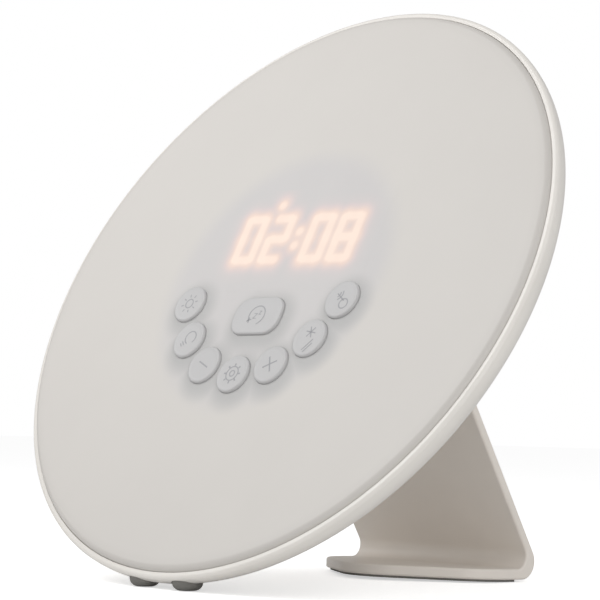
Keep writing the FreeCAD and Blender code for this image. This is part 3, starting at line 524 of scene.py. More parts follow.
class Nodes:
    """A material's node tree, written step by step."""

    def __init__(self, name: str) -> None:
        """Starts a material.

        Args:
            name: The material's name.
        """
        self.material = bpy.data.materials.new(name)
        self.material.use_nodes = True
        self.tree = self.material.node_tree
        self.shader = self.tree.nodes["Principled BSDF"]

    def add(self, kind: str, **values: object) -> bpy.types.Node:
        """Adds a node.

        Args:
            kind: The node's type name.
            values: Its settings.

        Returns:
            The node.
        """
        node = self.tree.nodes.new(kind)
        for key, value in values.items():
            setattr(node, key, value)
        return node

    def link(self, source: bpy.types.NodeSocket, target: bpy.types.NodeSocket) -> None:
        """Links two sockets."""
        self.tree.links.new(source, target)

    def feed(self, target: bpy.types.NodeSocket, value: object) -> None:
        """Gives a socket its value.

        Args:
            target: The socket.
            value: A socket to link, a colour or a number.
        """
        if isinstance(value, bpy.types.NodeSocket):
            self.link(value, target)
        else:
            target.default_value = (*value, 1.0) if isinstance(value, tuple) else value

    def give(self, name: str, value: object) -> None:
        """Gives an input of the shader a socket, a colour or a number."""
        self.feed(self.shader.inputs[name], value)

    def maths(self, operation: str, first: object, second: object = 0.0) -> bpy.types.NodeSocket:
        """Works out a value from one or two others.

        Args:
            operation: The Math node's operation.
            first: A socket or number.
            second: A socket or number.

        Returns:
            The result's socket.
        """
        node = self.add("ShaderNodeMath", operation=operation)
        self.feed(node.inputs[0], first)
        self.feed(node.inputs[1], second)
        return node.outputs[0]

    def length(self, first: bpy.types.NodeSocket, second: bpy.types.NodeSocket) -> bpy.types.NodeSocket:
        """Returns the length of a vector with two parts."""
        squares = [self.maths("MULTIPLY", part, part) for part in (first, second)]
        return self.maths("SQRT", self.maths("ADD", *squares))

    def blend(self, share: object, first: object, second: object) -> bpy.types.NodeSocket:
        """Mixes two colours.

        Args:
            share: Socket or number, 0 for the first and 1 for the second.
            first: Socket or colour.
            second: Socket or colour.

        Returns:
            The mixed colour's socket.
        """
        node = self.add("ShaderNodeMix", data_type="RGBA")
        for name, value in (("Factor", share), ("A", first), ("B", second)):
            self.feed(node.inputs[name], value)
        return node.outputs["Result"]

    def ease(self, value: bpy.types.NodeSocket, start: float, end: float) -> bpy.types.NodeSocket:
        """Rises smoothly from 0 to 1 with a value.

        Args:
            value: The value's socket.
            start: Where the result is 0.
            end: Where the result is 1.

        Returns:
            The result's socket.
        """
        node = self.add("ShaderNodeMapRange", interpolation_type="SMOOTHSTEP")
        self.link(value, node.inputs["Value"])
        node.inputs["From Min"].default_value = start
        node.inputs["From Max"].default_value = end
        return node.outputs["Result"]

    def fade(self, value: bpy.types.NodeSocket, start: float, end: float) -> bpy.types.NodeSocket:
        """Falls smoothly from 1 to 0 as a value goes from start to end."""
        return self.maths("SUBTRACT", 1.0, self.ease(value, start, end))

    def clouds(self, size: float) -> bpy.types.NodeSocket:
        """Returns soft clouds of a size in millimetres, from 0 to 1."""
        return self.ease(self.noise(size), *CLOUD_SPAN)

    def sheen(self, pattern: bpy.types.NodeSocket, middle: float, spread: float) -> None:
        """Lets the roughness vary with a pattern.

        Args:
            pattern: The pattern's value, 0 to 1.
            middle: The roughness halfway.
            spread: How far it goes, from the least to the most.
        """
        rough = self.maths("MULTIPLY_ADD", pattern, spread)
        rough.node.inputs[2].default_value = middle - spread / 2
        self.give("Roughness", rough)

    def place(self) -> bpy.types.NodeSocket:
        """Returns the place on the resting piece, in the room."""
        return self.add("ShaderNodeTexCoord").outputs["Object"]

    def head_place(self) -> bpy.types.Node:
        """Returns a node that splits the place into the head's own axes."""
        mapping = self.add("ShaderNodeMapping", vector_type="POINT")
        inverse = STANCE.matrix().inverted()
        mapping.inputs["Location"].default_value = inverse.to_translation()
        mapping.inputs["Rotation"].default_value = inverse.to_euler()
        self.link(self.place(), mapping.inputs["Vector"])
        split = self.add("ShaderNodeSeparateXYZ")
        self.link(mapping.outputs["Vector"], split.inputs["Vector"])
        return split

    def noise(self, size: float, detail: float = 2.0) -> bpy.types.NodeSocket:
        """Cloudy pattern of a size.

        Args:
            size: Size of its clouds in millimetres.
            detail: Finer layers.

        Returns:
            The pattern's value, about 0.5.
        """
        node = self.add("ShaderNodeTexNoise")
        node.inputs["Scale"].default_value = 1 / (size * MM)
        node.inputs["Detail"].default_value = detail
        self.link(self.place(), node.inputs["Vector"])
        return node.outputs["Fac"]

    def bump(self, height: bpy.types.NodeSocket, depth: float, strength: float) -> None:
        """Puts a bump on the shader.

        Args:
            height: The pattern's value.
            depth: Height of the bumps in millimetres.
            strength: Share of the bump, 0 to 1.
        """
        node = self.add("ShaderNodeBump")
        node.inputs["Distance"].default_value = depth * MM
        node.inputs["Strength"].default_value = strength
        self.link(height, node.inputs["Height"])
        self.link(node.outputs["Normal"], self.shader.inputs["Normal"])


@dataclass(frozen=True)
class MouldedPlastic:
    """Moulded plastic: a spark-eroded grain, faint cloudiness and a sheen that varies with the grain."""

    name: str
    colour: Colour
    roughness: float = 0.45
    grain: float = 0.25
    grain_height: float = 0.012
    cloud: float = 0.012
    specular: float = 0.5
    cloud_size: float = 18.0
    spread: float = 0.12
    bump: float = 0.35

    def material(self) -> bpy.types.Material:
        """Returns the finish as a material."""
        nodes = Nodes(self.name)
        dark = tuple(c * (1 - self.cloud) for c in self.colour)
        light = tuple(min(1.0, c * (1 + self.cloud)) for c in self.colour)
        fine = nodes.noise(self.grain, FINE_DETAIL)
        nodes.give("Base Color", nodes.blend(nodes.clouds(self.cloud_size), dark, light))
        nodes.give("Specular IOR Level", self.specular)
        nodes.sheen(fine, self.roughness, self.spread)
        nodes.bump(fine, self.grain_height, self.bump)
        return nodes.material


@dataclass(frozen=True)
class MilkyCover:
    """Milky cover sheet: the control module shows through, cooler and darker; painted shadows of the keys
    fall to their lower right, and painted shade darkens the rounded edge.
    """

    name: str = "milky_cover"
    colour: Colour = srgb(206, 202, 197)
    zone: Colour = srgb(199, 196, 195)
    shade: Colour = srgb(170, 170, 169)
    # rim is the colour of the painted shade at the cover's rounded edge, blended in over the edge's width
    # by its share below
    rim: Colour = srgb(192, 188, 183)
    zone_radius: float = 39.5
    zone_blur: float = 4.5
    cover_radius: float = 87.5
    edge_shade_width: float = 4.5
    # Painted shadow of the keys, in the shade colour, cast to their lower right by shade_offset
    key_shadow_reach: float = 5.5
    shade_share: float = 0.74
    shade_start: float = 0.9
    shade_offset: Point = (1.5, -1.8)
    edge_shade_share: float = 0.35
    cloud: Colour = srgb(225, 222, 216)
    cloud_size: float = 24.0
    cloud_share: float = 0.05
    grain: float = 0.5
    grain_height: float = 0.004
    bump: float = 0.3
    roughness: float = 0.5
    spread: float = 0.08
    glow: bool = False
    glow_stops: tuple[tuple[float, Colour], ...] = (
        (0.0, (0.0, 0.0, 0.0)), (0.1, (0.09, 0.02, 0.014)), (0.34, (0.23, 0.085, 0.018)),
        (0.6, (0.29, 0.135, 0.05)), (0.92, (0.355, 0.2, 0.1)),
    )

    def material(self) -> bpy.types.Material:
        """Returns the finish as a material."""
        nodes = Nodes(self.name)
        head = nodes.head_place()
        radius = nodes.length(head.outputs["X"], head.outputs["Z"])
        low = (self.zone_radius - self.zone_blur) * MM
        high = (self.zone_radius + self.zone_blur) * MM
        base = nodes.blend(nodes.fade(radius, low, high), self.colour, self.zone)
        # Painted shade: the cover darkens towards its rounded edge
        edge = nodes.ease(radius, (self.cover_radius - self.edge_shade_width) * MM, self.cover_radius * MM)
        # Painted shadows of the keys, painted shade at the cover's rounded edge, then random clouds of tone
        layers = (
            (self.round_key_shadows(nodes, head), self.shade_share, self.shade),
            (self.wide_key_shadow(nodes, head), self.shade_share, self.shade),
            (edge, self.edge_shade_share, self.rim),
            (nodes.clouds(self.cloud_size), self.cloud_share, self.cloud),
        )
        for pattern, share, colour in layers:
            base = nodes.blend(nodes.maths("MULTIPLY", pattern, share), base, colour)
        fine = nodes.noise(self.grain, FINE_DETAIL)
        nodes.give("Base Color", base)
        nodes.sheen(fine, self.roughness, self.spread)
        nodes.bump(fine, self.grain_height, self.bump)
        if self.glow:
            self.add_glow(nodes)
        return nodes.material

    def round_key_shadows(self, nodes: Nodes, head: bpy.types.Node) -> bpy.types.NodeSocket:
        """Works out the painted shadow that the row of round keys casts at a place, shifted to their lower
        right.

        Args:
            nodes: The cover's nodes.
            head: The place in the head's axes, split.

        Returns:
            The painted shadow's share, 1 at a key's edge and 0 away from it.
        """
        step = math.radians(KEYS.step)
        last = float(KEYS.each_side())
        row = math.hypot(*KEYS.place("radio")) * MM
        across = nodes.maths("SUBTRACT", head.outputs["X"], self.shade_offset[0] * MM)
        up = nodes.maths("SUBTRACT", head.outputs["Z"], self.shade_offset[1] * MM)
        radius = nodes.length(across, up)
        turn = nodes.maths("ARCTAN2", across, nodes.maths("MULTIPLY", up, -1.0))
        index = nodes.maths("ROUND", nodes.maths("DIVIDE", turn, step))
        index = nodes.maths("MINIMUM", nodes.maths("MAXIMUM", index, -last), last)
        off = nodes.maths("SUBTRACT", turn, nodes.maths("MULTIPLY", index, step))
        along = nodes.maths("MULTIPLY", radius, nodes.maths("SINE", off))
        out = nodes.maths("SUBTRACT", nodes.maths("MULTIPLY", radius, nodes.maths("COSINE", off)), row)
        key = KEYS.radius() * MM
        gap = nodes.length(along, out)
        return nodes.fade(gap, key * self.shade_start, key + self.key_shadow_reach * MM)

    def wide_key_shadow(self, nodes: Nodes, head: bpy.types.Node) -> bpy.types.NodeSocket:
        """Works out the painted shadow that the wide key casts at a place, shifted to its lower right.

        Args:
            nodes: The cover's nodes.
            head: The place in the head's axes, split.

        Returns:
            The painted shadow's share, 1 at the key's edge and 0 away from it.
        """
        x, z = KEYS.place("snooze")
        corner = KEYS.snooze_corner * MM
        sides = []
        across = ("X", x + self.shade_offset[0], KEYS.snooze_width)
        up = ("Z", z + self.shade_offset[1], KEYS.snooze_depth)
        for output, middle, size in (across, up):
            away = nodes.maths("ABSOLUTE", nodes.maths("SUBTRACT", head.outputs[output], middle * MM))
            sides.append(nodes.maths("MAXIMUM", nodes.maths("SUBTRACT", away, size / 2 * MM - corner), 0.0))
        gap = nodes.length(*sides)
        return nodes.fade(gap, corner * self.shade_start, corner + self.key_shadow_reach * MM)

    def add_glow(self, nodes: Nodes) -> None:
        """Adds the digits' light that comes through the cover.

        Args:
            nodes: The cover's nodes.
        """
        share = nodes.add("ShaderNodeAttribute", attribute_name="light").outputs["Fac"]
        ramp = nodes.add("ShaderNodeValToRGB")
        while len(ramp.color_ramp.elements) < len(self.glow_stops):
            ramp.color_ramp.elements.new(0.5)
        for element, (place, colour) in zip(ramp.color_ramp.elements, self.glow_stops):
            element.position = place
            element.color = (*colour, 1.0)
        nodes.link(share, ramp.inputs["Fac"])
        nodes.give("Emission Color", ramp.outputs["Color"])
        nodes.give("Emission Strength", 1.0)


@dataclass(frozen=True)
class PlatedSteel:
    """Zinc or nickel plated steel with a brushed, slightly patchy sheen."""

    name: str
    colour: Colour = (0.62, 0.62, 0.63)
    roughness: float = 0.32
    spread: float = 0.2
    patch_size: float = 2.0
    patch_share: float = 0.85
    patch_detail: float = 4.0
    grain: float = 0.15
    grain_height: float = 0.004
    bump: float = 0.3

    def material(self) -> bpy.types.Material:
        """Returns the finish as a material."""
        nodes = Nodes(self.name)
        patch = nodes.noise(self.patch_size, self.patch_detail)
        dark = tuple(c * self.patch_share for c in self.colour)
        nodes.give("Base Color", nodes.blend(patch, dark, self.colour))
        nodes.give("Metallic", 1.0)
        nodes.sheen(patch, self.roughness, self.spread)
        nodes.bump(nodes.noise(self.grain), self.grain_height, self.bump)
        return nodes.material


# Studio


@dataclass(frozen=True)
class Studio:
    """Pale floor, white surround and soft lamps."""

    surround: float = 0.48
    floor_size: float = 6.0
    floor_drop: float = 0.0001
    floor_dark: Colour = (0.86, 0.86, 0.86)
    floor_light: Colour = (0.89, 0.89, 0.89)
    floor_cloud: float = 60.0
    floor_roughness: float = 0.9
    floor_glow: float = 0.55
    aim: Place = (0.0, 0.0, 0.08)
    lamps: tuple[tuple[str, Place, float, float], ...] = (
        ("top_left", (-0.34, -0.31, 0.5), 0.35, 1.75),
        ("front_right", (1.15, -0.7, 0.05), 0.7, 5.8),
        ("top_right", (0.75, -0.15, 0.75), 0.4, 1.5),
    )

    def build(self) -> None:
        """Makes the floor, the surround and the lamps."""
        self.make_world()
        self.make_floor()
        for lamp in self.lamps:
            self.make_lamp(*lamp)

    def make_world(self) -> None:
        """Sets a soft white surround that the camera sees as plain white."""
        world = bpy.data.worlds.new("surround")
        bpy.context.scene.world = world
        world.use_nodes = True
        tree = world.node_tree
        background = tree.nodes["Background"]
        path = tree.nodes.new("ShaderNodeLightPath")
        seen = tree.nodes.new("ShaderNodeMath")
        seen.operation = "MAXIMUM"
        tree.links.new(path.outputs["Is Camera Ray"], seen.inputs[0])
        tree.links.new(path.outputs["Is Transmission Ray"], seen.inputs[1])
        level = tree.nodes.new("ShaderNodeMapRange")
        level.inputs["To Min"].default_value = self.surround
        level.inputs["To Max"].default_value = 1.0
        tree.links.new(seen.outputs[0], level.inputs["Value"])
        tree.links.new(level.outputs["Result"], background.inputs["Strength"])
        background.inputs["Color"].default_value = (*WHITE, 1.0)

    def make_floor(self) -> None:
        """Makes the pale floor, which keeps the clock's shadow."""
        bpy.ops.object.select_all(action="DESELECT")
        bpy.ops.mesh.primitive_plane_add(size=self.floor_size, location=(0, 0, -self.floor_drop))
        floor = bpy.context.object
        floor.name = "floor"
        nodes = Nodes("pale_floor")
        camera_ray = nodes.add("ShaderNodeLightPath").outputs["Is Camera Ray"]
        nodes.give("Roughness", self.floor_roughness)
        nodes.give("Specular IOR Level", 0.0)
        patch = nodes.noise(self.floor_cloud)
        nodes.give("Base Color", nodes.blend(patch, self.floor_dark, self.floor_light))
        nodes.give("Emission Color", WHITE)
        nodes.give("Emission Strength", nodes.maths("MULTIPLY", camera_ray, self.floor_glow))
        dressed(floor, nodes.material)

    def make_lamp(self, name: str, place: Place, size: float, power: float) -> None:
        """Hangs a square soft lamp that points at the clock.

        Args:
            name: The lamp's name.
            place: Where it hangs, in metres.
            size: Its side, in metres.
            power: Its power in watts.
        """
        data = bpy.data.lights.new(name, "AREA")
        data.size = size
        data.energy = power
        lamp = bpy.data.objects.new(name, data)
        bpy.context.scene.collection.objects.link(lamp)
        lamp.location = place
        aim = Vector(self.aim) - Vector(place)
        lamp.rotation_euler = aim.to_track_quat("-Z", "Y").to_euler()


@dataclass(frozen=True)
class Viewpoint:
    """The photograph's camera, placed from the middle of the face."""

    azimuth: float = 44.98
    elevation: float = -3.07
    roll: float = 1.24
    lens: float = 133.3
    sensor: float = 36.0
    clip_start: float = 0.05
    from_face: Place = (427.9, -418.4, -37.9)

    def build(self) -> None:
        """Makes the camera and gives it to the scene."""
        turn, rise, tilt = (math.radians(a) for a in (self.azimuth, self.elevation, self.roll))
        back = Vector((math.sin(turn) * math.cos(rise), -math.cos(turn) * math.cos(rise), math.sin(rise)))
        right = Vector((math.cos(turn), math.sin(turn), 0))
        up = back.cross(right)
        tilted_right = right * math.cos(tilt) + up * math.sin(tilt)
        tilted_up = up * math.cos(tilt) - right * math.sin(tilt)
        place = STANCE.centre() + Vector(self.from_face) * MM
        data = bpy.data.cameras.new("photo_view")
        data.lens = self.lens
        data.sensor_width = self.sensor
        data.clip_start = self.clip_start
        camera = bpy.data.objects.new("photo_view", data)
        bpy.context.scene.collection.objects.link(camera)
        rotation = Matrix((tilted_right, tilted_up, back)).transposed().to_4x4()
        camera.matrix_world = Matrix.Translation(place) @ rotation
        bpy.context.scene.camera = camera


# Pieces of the head


@dataclass(frozen=True)
class KeyRow:
    """Where the eight keys stand on the face, in millimetres from its middle."""

    step: float = 25.0
    flange: float = 0.6
    snooze_height: float = -12.2
    snooze_width: float = 18.0
    snooze_depth: float = 11.5
    snooze_corner: float = 4.6
    round_names: tuple[str, ...] = ("brightness", "lamp", "minus", "set", "plus", "alarm", "radio")

    def names(self) -> list[str]:
        """Names all keys, the wide one last."""
        return [*self.round_names, "snooze"]

    def each_side(self) -> int:
        """Returns how many round keys stand on each side of the middle one."""
        return len(self.round_names) // 2

    def radius(self) -> float:
        """Returns the radius of a round key's cap."""
        return half_width("key_set") - self.flange

    def place(self, name: str) -> Point:
        """Finds a key's middle.

        Args:
            name: The key's name.

        Returns:
            Its place (x, z) on the face.
        """
        if name == "snooze":
            return 0.0, self.snooze_height
        low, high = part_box("key_radio")
        circle = (low.x + high.x) / 2 / MM / math.sin(math.radians(self.turn("radio")))
        return on_circle(circle, self.turn(name) - 90)

    def turn(self, name: str) -> float:
        """Returns how far a key's sign is turned with the row, in degrees."""
        return 0.0 if name == "snooze" else (self.round_names.index(name) - self.each_side()) * self.step

    def wide_outline(self, grow: float) -> list[Point]:
        """Draws the wide key's outline.

        Args:
            grow: How far outside the cap it runs.

        Returns:
            The outline's points on the face.
        """
        half, rise = self.snooze_width / 2 + grow, self.snooze_depth / 2 + grow
        return rectangle(half, rise, self.snooze_height, self.snooze_corner + grow)


KEYS = KeyRow()


@dataclass(frozen=True)
class Cover:
    """Milky cover with a rounded edge, a skirt behind it and the key openings."""

    thickness: float = 2.0
    skirt_width: float = 2.4
    skirt_depth: float = 4.0
    edge_round: float = 1.7
    skirt_round: float = 0.2
    inner_round: float = 0.3
    key_gap: float = 0.06
    opening_round: float = 0.06
    opening_sides: int = 64
    keys_reach: float = 60.0
    steps: int = 240

    def build(self, material: bpy.types.Material) -> bpy.types.Object:
        """Makes the cover.

        Args:
            material: Its finish.

        Returns:
            The cover.
        """
        radius = half_width("front_diffuser")
        inner = radius - self.skirt_width
        outline = rounded([
            (0.0, 0.0, 0.0), (radius, 0.0, self.edge_round), (radius, self.skirt_depth, self.skirt_round),
            (inner, self.skirt_depth, self.skirt_round), (inner, self.thickness, self.inner_round),
            (0.0, self.thickness, 0.0),
        ])
        cover = turned("cover", outline, self.steps)
        span = (-CUT_PAST, self.thickness + CUT_PAST)
        tools = [prism(KEYS.wide_outline(self.key_gap), *span)]
        for name in KEYS.round_names:
            tools.append(rod(KEYS.radius() + self.key_gap, *span, KEYS.place(name), self.opening_sides))
        combined(cover, joined("openings", tools), Joint.CUT)
        eased_edges(cover, self.at_opening, self.opening_round)
        evened(cover)
        dressed(cover, material)
        set_down(cover)
        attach(cover, "clock")
        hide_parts("front_diffuser")
        return cover

    def at_opening(self, edge: bmesh.types.BMEdge) -> bool:
        """Says whether an edge lies on the front, round a key opening."""
        return all(abs(v.co.y) < NEAR and v.co.length < self.keys_reach * MM for v in edge.verts)


@dataclass(frozen=True)
class Keys:
    """Eight moulded keys, each with a flange behind the cover, a stem and a printed sign."""

    proud: float = 0.8
    edge_round: float = 0.6
    edge_steps: int = 5
    dish: float = 0.08
    dish_rim: float = 1.3
    dish_round: float = 3.0
    brow: float = 0.1
    brow_round: float = 0.3
    cover: float = 2.0
    flange_thickness: float = 1.0
    flange_round: float = 0.1
    stem_radius: float = 2.2
    stem_end: float = 6.6
    stem_round: float = 0.2
    overlap: float = 0.001
    stem_overlap: float = 0.5
    steps: int = 72
    line: float = 0.24
    sign_size: float = 1.45

    def build(self, cap: bpy.types.Material, ink: bpy.types.Material) -> list[bpy.types.Object]:
        """Makes the keys and their signs.

        Args:
            cap: The keys' finish.
            ink: The signs' finish.

        Returns:
            The pieces.
        """
        pieces = []
        first = self.round_cap()
        for name in KEYS.names():
            x, z = KEYS.place(name)
            key = self.wide_cap() if name == "snooze" else shifted(copied(first), x, 0, z)
            key.name = f"cap_{name}"
            sign = joined(f"sign_{name}", self.sign(name))
            sign.rotation_euler = (0, -math.radians(KEYS.turn(name)), 0)
            sign.scale = (1, 1, 1) if name == "snooze" else (self.sign_size, 1, self.sign_size)
            shifted(sign, x, self.dish - self.proud, z)
            for piece, material, slot in ((key, cap, "keys"), (sign, ink, "keys")):
                dressed(piece, material)
                set_down(piece)
                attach(piece, f"button_{name}")
                pieces.append(piece)
            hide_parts(f"key_{name}")
        bpy.data.objects.remove(first)
        return pieces

    def round_cap(self) -> bpy.types.Object:
        """Turns a round key about its own middle."""
        radius = KEYS.radius()
        flange = radius + KEYS.flange
        bottom = self.dish - self.proud
        end = self.cover + self.flange_thickness
        outline = rounded([
            (0.0, bottom, 0.0), (radius - self.dish_rim, bottom, self.dish_round),
            (radius - self.edge_round - self.brow, -self.proud, self.brow_round),
            (radius, -self.proud, self.edge_round), (radius, self.cover, 0.0),
            (flange, self.cover, self.flange_round), (flange, end, self.flange_round),
            (self.stem_radius, end, self.stem_round), (self.stem_radius, self.stem_end, self.stem_round),
            (0.0, self.stem_end, 0.0),
        ], COARSE_STEP)
        cap = turned("round_cap", outline, self.steps)
        evened(cap)
        return cap

    def wide_cap(self) -> bpy.types.Object:
        """Extrudes the wide key, with its dished top, flange and stem."""
        cap = prism(KEYS.wide_outline(0.0), -self.proud, self.cover)
        with editing(cap, "FACE"):
            pick(cap, "faces", lambda face: face.normal.y < -0.9)
            bpy.ops.mesh.inset(thickness=self.dish_rim * MM)
            bpy.ops.transform.translate(value=(0, self.dish * MM, 0))
        top = (self.brow - self.proud) * MM
        steps = self.edge_steps
        eased_edges(cap, lambda edge: all(v.co.y < top for v in edge.verts), self.edge_round, steps)
        end = self.cover + self.flange_thickness
        flange = prism(KEYS.wide_outline(KEYS.flange), self.cover - self.overlap, end)
        combined(cap, flange, Joint.ADD)
        stem = rod(self.stem_radius, end - self.stem_overlap, self.stem_end, KEYS.place("snooze"))
        combined(cap, stem, Joint.ADD)
        evened(cap)
        return cap

    def sign(self, name: str) -> list[bpy.types.Object]:
        """Makes the lines of a key's printed sign about its middle.

        Args:
            name: The key's name.

        Returns:
            The lines.
        """
        line = self.line
        rays = range(0, 360, 45)
        if name == "brightness":
            small = [dash(*on_circle(1.75, turn), 0.6, turn, line) for turn in rays]
            return [arc(0, 0, 0.95, 0, 360, line), *small]
        if name == "lamp":
            foot = [dash(0, -1.35 - 0.55 * row, 1.1 - 0.3 * row, 0, line) for row in range(2)]
            return [arc(0, 0.55, 1.35, -60, 300, line), *foot]
        if name == "minus":
            return [dash(0, 0, 3.0, 0, line * 1.25)]
        if name == "set":
            teeth = [dash(*on_circle(1.85, turn), 0.5, turn, line * 1.4) for turn in rays]
            return [arc(0, 0, 1.45, 0, 360, line), arc(0, 0, 0.6, 0, 360, line), *teeth]
        if name == "plus":
            return [dash(0, 0, 3.4, 0, line * 1.25), dash(0, 0, 3.4, 90, line * 1.25)]
        if name == "alarm":
            star = [dash(0.9, 0.7, 2.4, turn, line) for turn in (0, 60, 120)]
            return [*star, dash(-0.9, -1.2, 3.0, 0, line), dash(-1.2, -1.8, 2.4, 0, line)]
        if name == "radio":
            mast = dash(0.3, 0.3, 2.6, 70, line)
            waves = [arc(0.75, 1.5, size, -50, 100, line) for size in (0.7, 1.3)]
            return [arc(-0.7, -1.2, 1.0, 0, 360, line), mast, *waves]
        line = self.line * self.sign_size
        head = [dash(-2.3, -1.5, 1.7, turn, line) for turn in (20, 95)]
        doze = self.doze(-0.5, -0.2, 1.5) + self.doze(1.0, 0.8, 1.0)
        return [arc(0, 0, 2.9, -145, 285, line), *head, *doze]

    def doze(self, u: float, v: float, size: float) -> list[bpy.types.Object]:
        """Makes the zigzag that stands for dozing.

        Args:
            u: Middle across.
            v: Middle up.
            size: Its height.

        Returns:
            The three lines.
        """
        width = 0.8 * size
        slope = math.degrees(math.atan2(size, width))
        level = [dash(u, v + side * size / 2, width, 0, self.line) for side in (-1, 1)]
        return [*level, dash(u, v, math.hypot(width, size), slope, self.line)]


def on_circle(radius: float, degrees: float) -> Point:
    """Returns the point at an angle on a circle."""
    return radius * math.cos(math.radians(degrees)), radius * math.sin(math.radians(degrees))


@dataclass(frozen=True)
class DigitLight:
    """The light of the time's bars and dots, softened by the cover in front of them."""

    text: str = "0208"
    middle: Point = (2.1, 12.6)
    height: float = 13.4
    width: float = 6.4
    pitch: float = 10.6
    colon_gap: float = 4.9
    dot_place: Point = (-10.9, 11.1)
    slant: float = -1.5
    tilt: float = -1.0
    half_bar: float = 0.72
    level_short: float = 1.0
    upright_short: float = 0.35
    core_blur: float = 1.25
    halo_blur: float = 2.0
    halo_reach: float = 8.0
    bar_share: float = 0.5
    halo_share: float = 0.5
    far_share: float = 0.12
    core_share: float = 0.45
    margin: float = 9.0
    step: float = 0.3
    proud: float = 0.012

    def build(self, material: bpy.types.Material) -> bpy.types.Object:
        """Makes the lit stretch of the cover as a fine sheet that carries the light at each point.

        Args:
            material: The cover's finish with its light.

        Returns:
            The sheet.
        """
        wide = self.row_width() + 2 * self.margin
        high = self.height + 2 * self.margin + 2 * self.half_bar
        bpy.ops.object.select_all(action="DESELECT")
        bpy.ops.mesh.primitive_grid_add(
            x_subdivisions=round(wide / self.step), y_subdivisions=round(high / self.step), size=MM,
            location=(self.middle[0] * MM, -self.proud * MM, self.middle[1] * MM),
            rotation=(math.pi / 2, 0, 0),
        )
        sheet = bpy.context.object
        sheet.name = "digit_light"
        sheet.scale = (wide, high, 1.0)
        applied(sheet)
        with editing(sheet, "FACE"):
            thickened(2 * self.proud)
        bars = self.bars()
        light = sheet.data.attributes.new("light", "FLOAT", "POINT")
        for index, vertex in enumerate(sheet.data.vertices):
            light.data[index].value = self.level(Vector((vertex.co.x, vertex.co.z)) / MM, bars)
        dressed(sheet, material)
        set_down(sheet)
        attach(sheet, "clock")
        return sheet

    def row_width(self) -> float:
        """Returns the width of the four digits and the dots between them."""
        return (len(self.text) - 1) * self.pitch + self.colon_gap + self.width

    def bars(self) -> list[tuple[Vector, Vector]]:
        """Finds the ends of each lit bar and dot.

        Returns:
            Pairs of points on the face.
        """
        lit = {"0": "abcdef", "2": "abged", "8": "abcdefg"}
        rise = self.height / 2
        pairs = []
        for place, digit in enumerate(self.text):
            left = place * self.pitch - self.row_width() / 2 + (self.colon_gap if place > 1 else 0)
            right = left + self.width
            ends = {
                "a": ((left, 1), (right, 1)), "g": ((left, 0), (right, 0)), "d": ((left, -1), (right, -1)),
                "b": ((right, 1), (right, 0)), "c": ((right, 0), (right, -1)),
                "f": ((left, 1), (left, 0)), "e": ((left, 0), (left, -1)),
            }
            for bar in lit[digit]:
                first, last = (Vector((x, level * rise)) for x, level in ends[bar])
                short = self.level_short if bar in "agd" else self.upright_short
                trim = (last - first).normalized() * short
                pairs.append((first + trim, last - trim))
        for level in (-1, 1):
            dot = Vector((0, level * self.height / 6))
            pairs.append((dot, dot))
        pairs.append((Vector(self.dot_place), Vector(self.dot_place)))
        return [(self.placed(first), self.placed(last)) for first, last in pairs]

    def placed(self, point: Vector) -> Vector:
        """Leans a point over with the digits, turns it with their row and puts it on the face."""
        leaned = Vector((point.x + point.y * math.tan(math.radians(self.slant)), point.y))
        return Vector(self.middle) + Matrix.Rotation(math.radians(self.tilt), 2) @ leaned

    def level(self, point: Vector, bars: list[tuple[Vector, Vector]]) -> float:
        """Works out how brightly the cover is lit at a point.

        Args:
            point: The point on the face.
            bars: Ends of the lit bars.

        Returns:
            The level, 0 to 1.
        """
        nearest = math.inf
        dark = 1.0
        for first, last in bars:
            along = last - first
            share = 0.0
            if along.length > 0:
                share = max(0.0, min(1.0, (point - first).dot(along) / along.length_squared))
            gap = max(0.0, (point - first - along * share).length - self.half_bar)
            nearest = min(nearest, gap)
            dark *= 1 - self.bar_share * math.exp(-((gap / self.halo_blur) ** 2))
        core = max(0.0, 1 - nearest / self.core_blur)
        core = core * core * (3 - 2 * core)
        reach = max(0.0, 1 - nearest / self.halo_reach)
        halo = self.halo_share * min(1.0, 2 * reach) * (1 - dark)
        return min(1.0, halo + self.far_share * reach * reach + self.core_share * core)


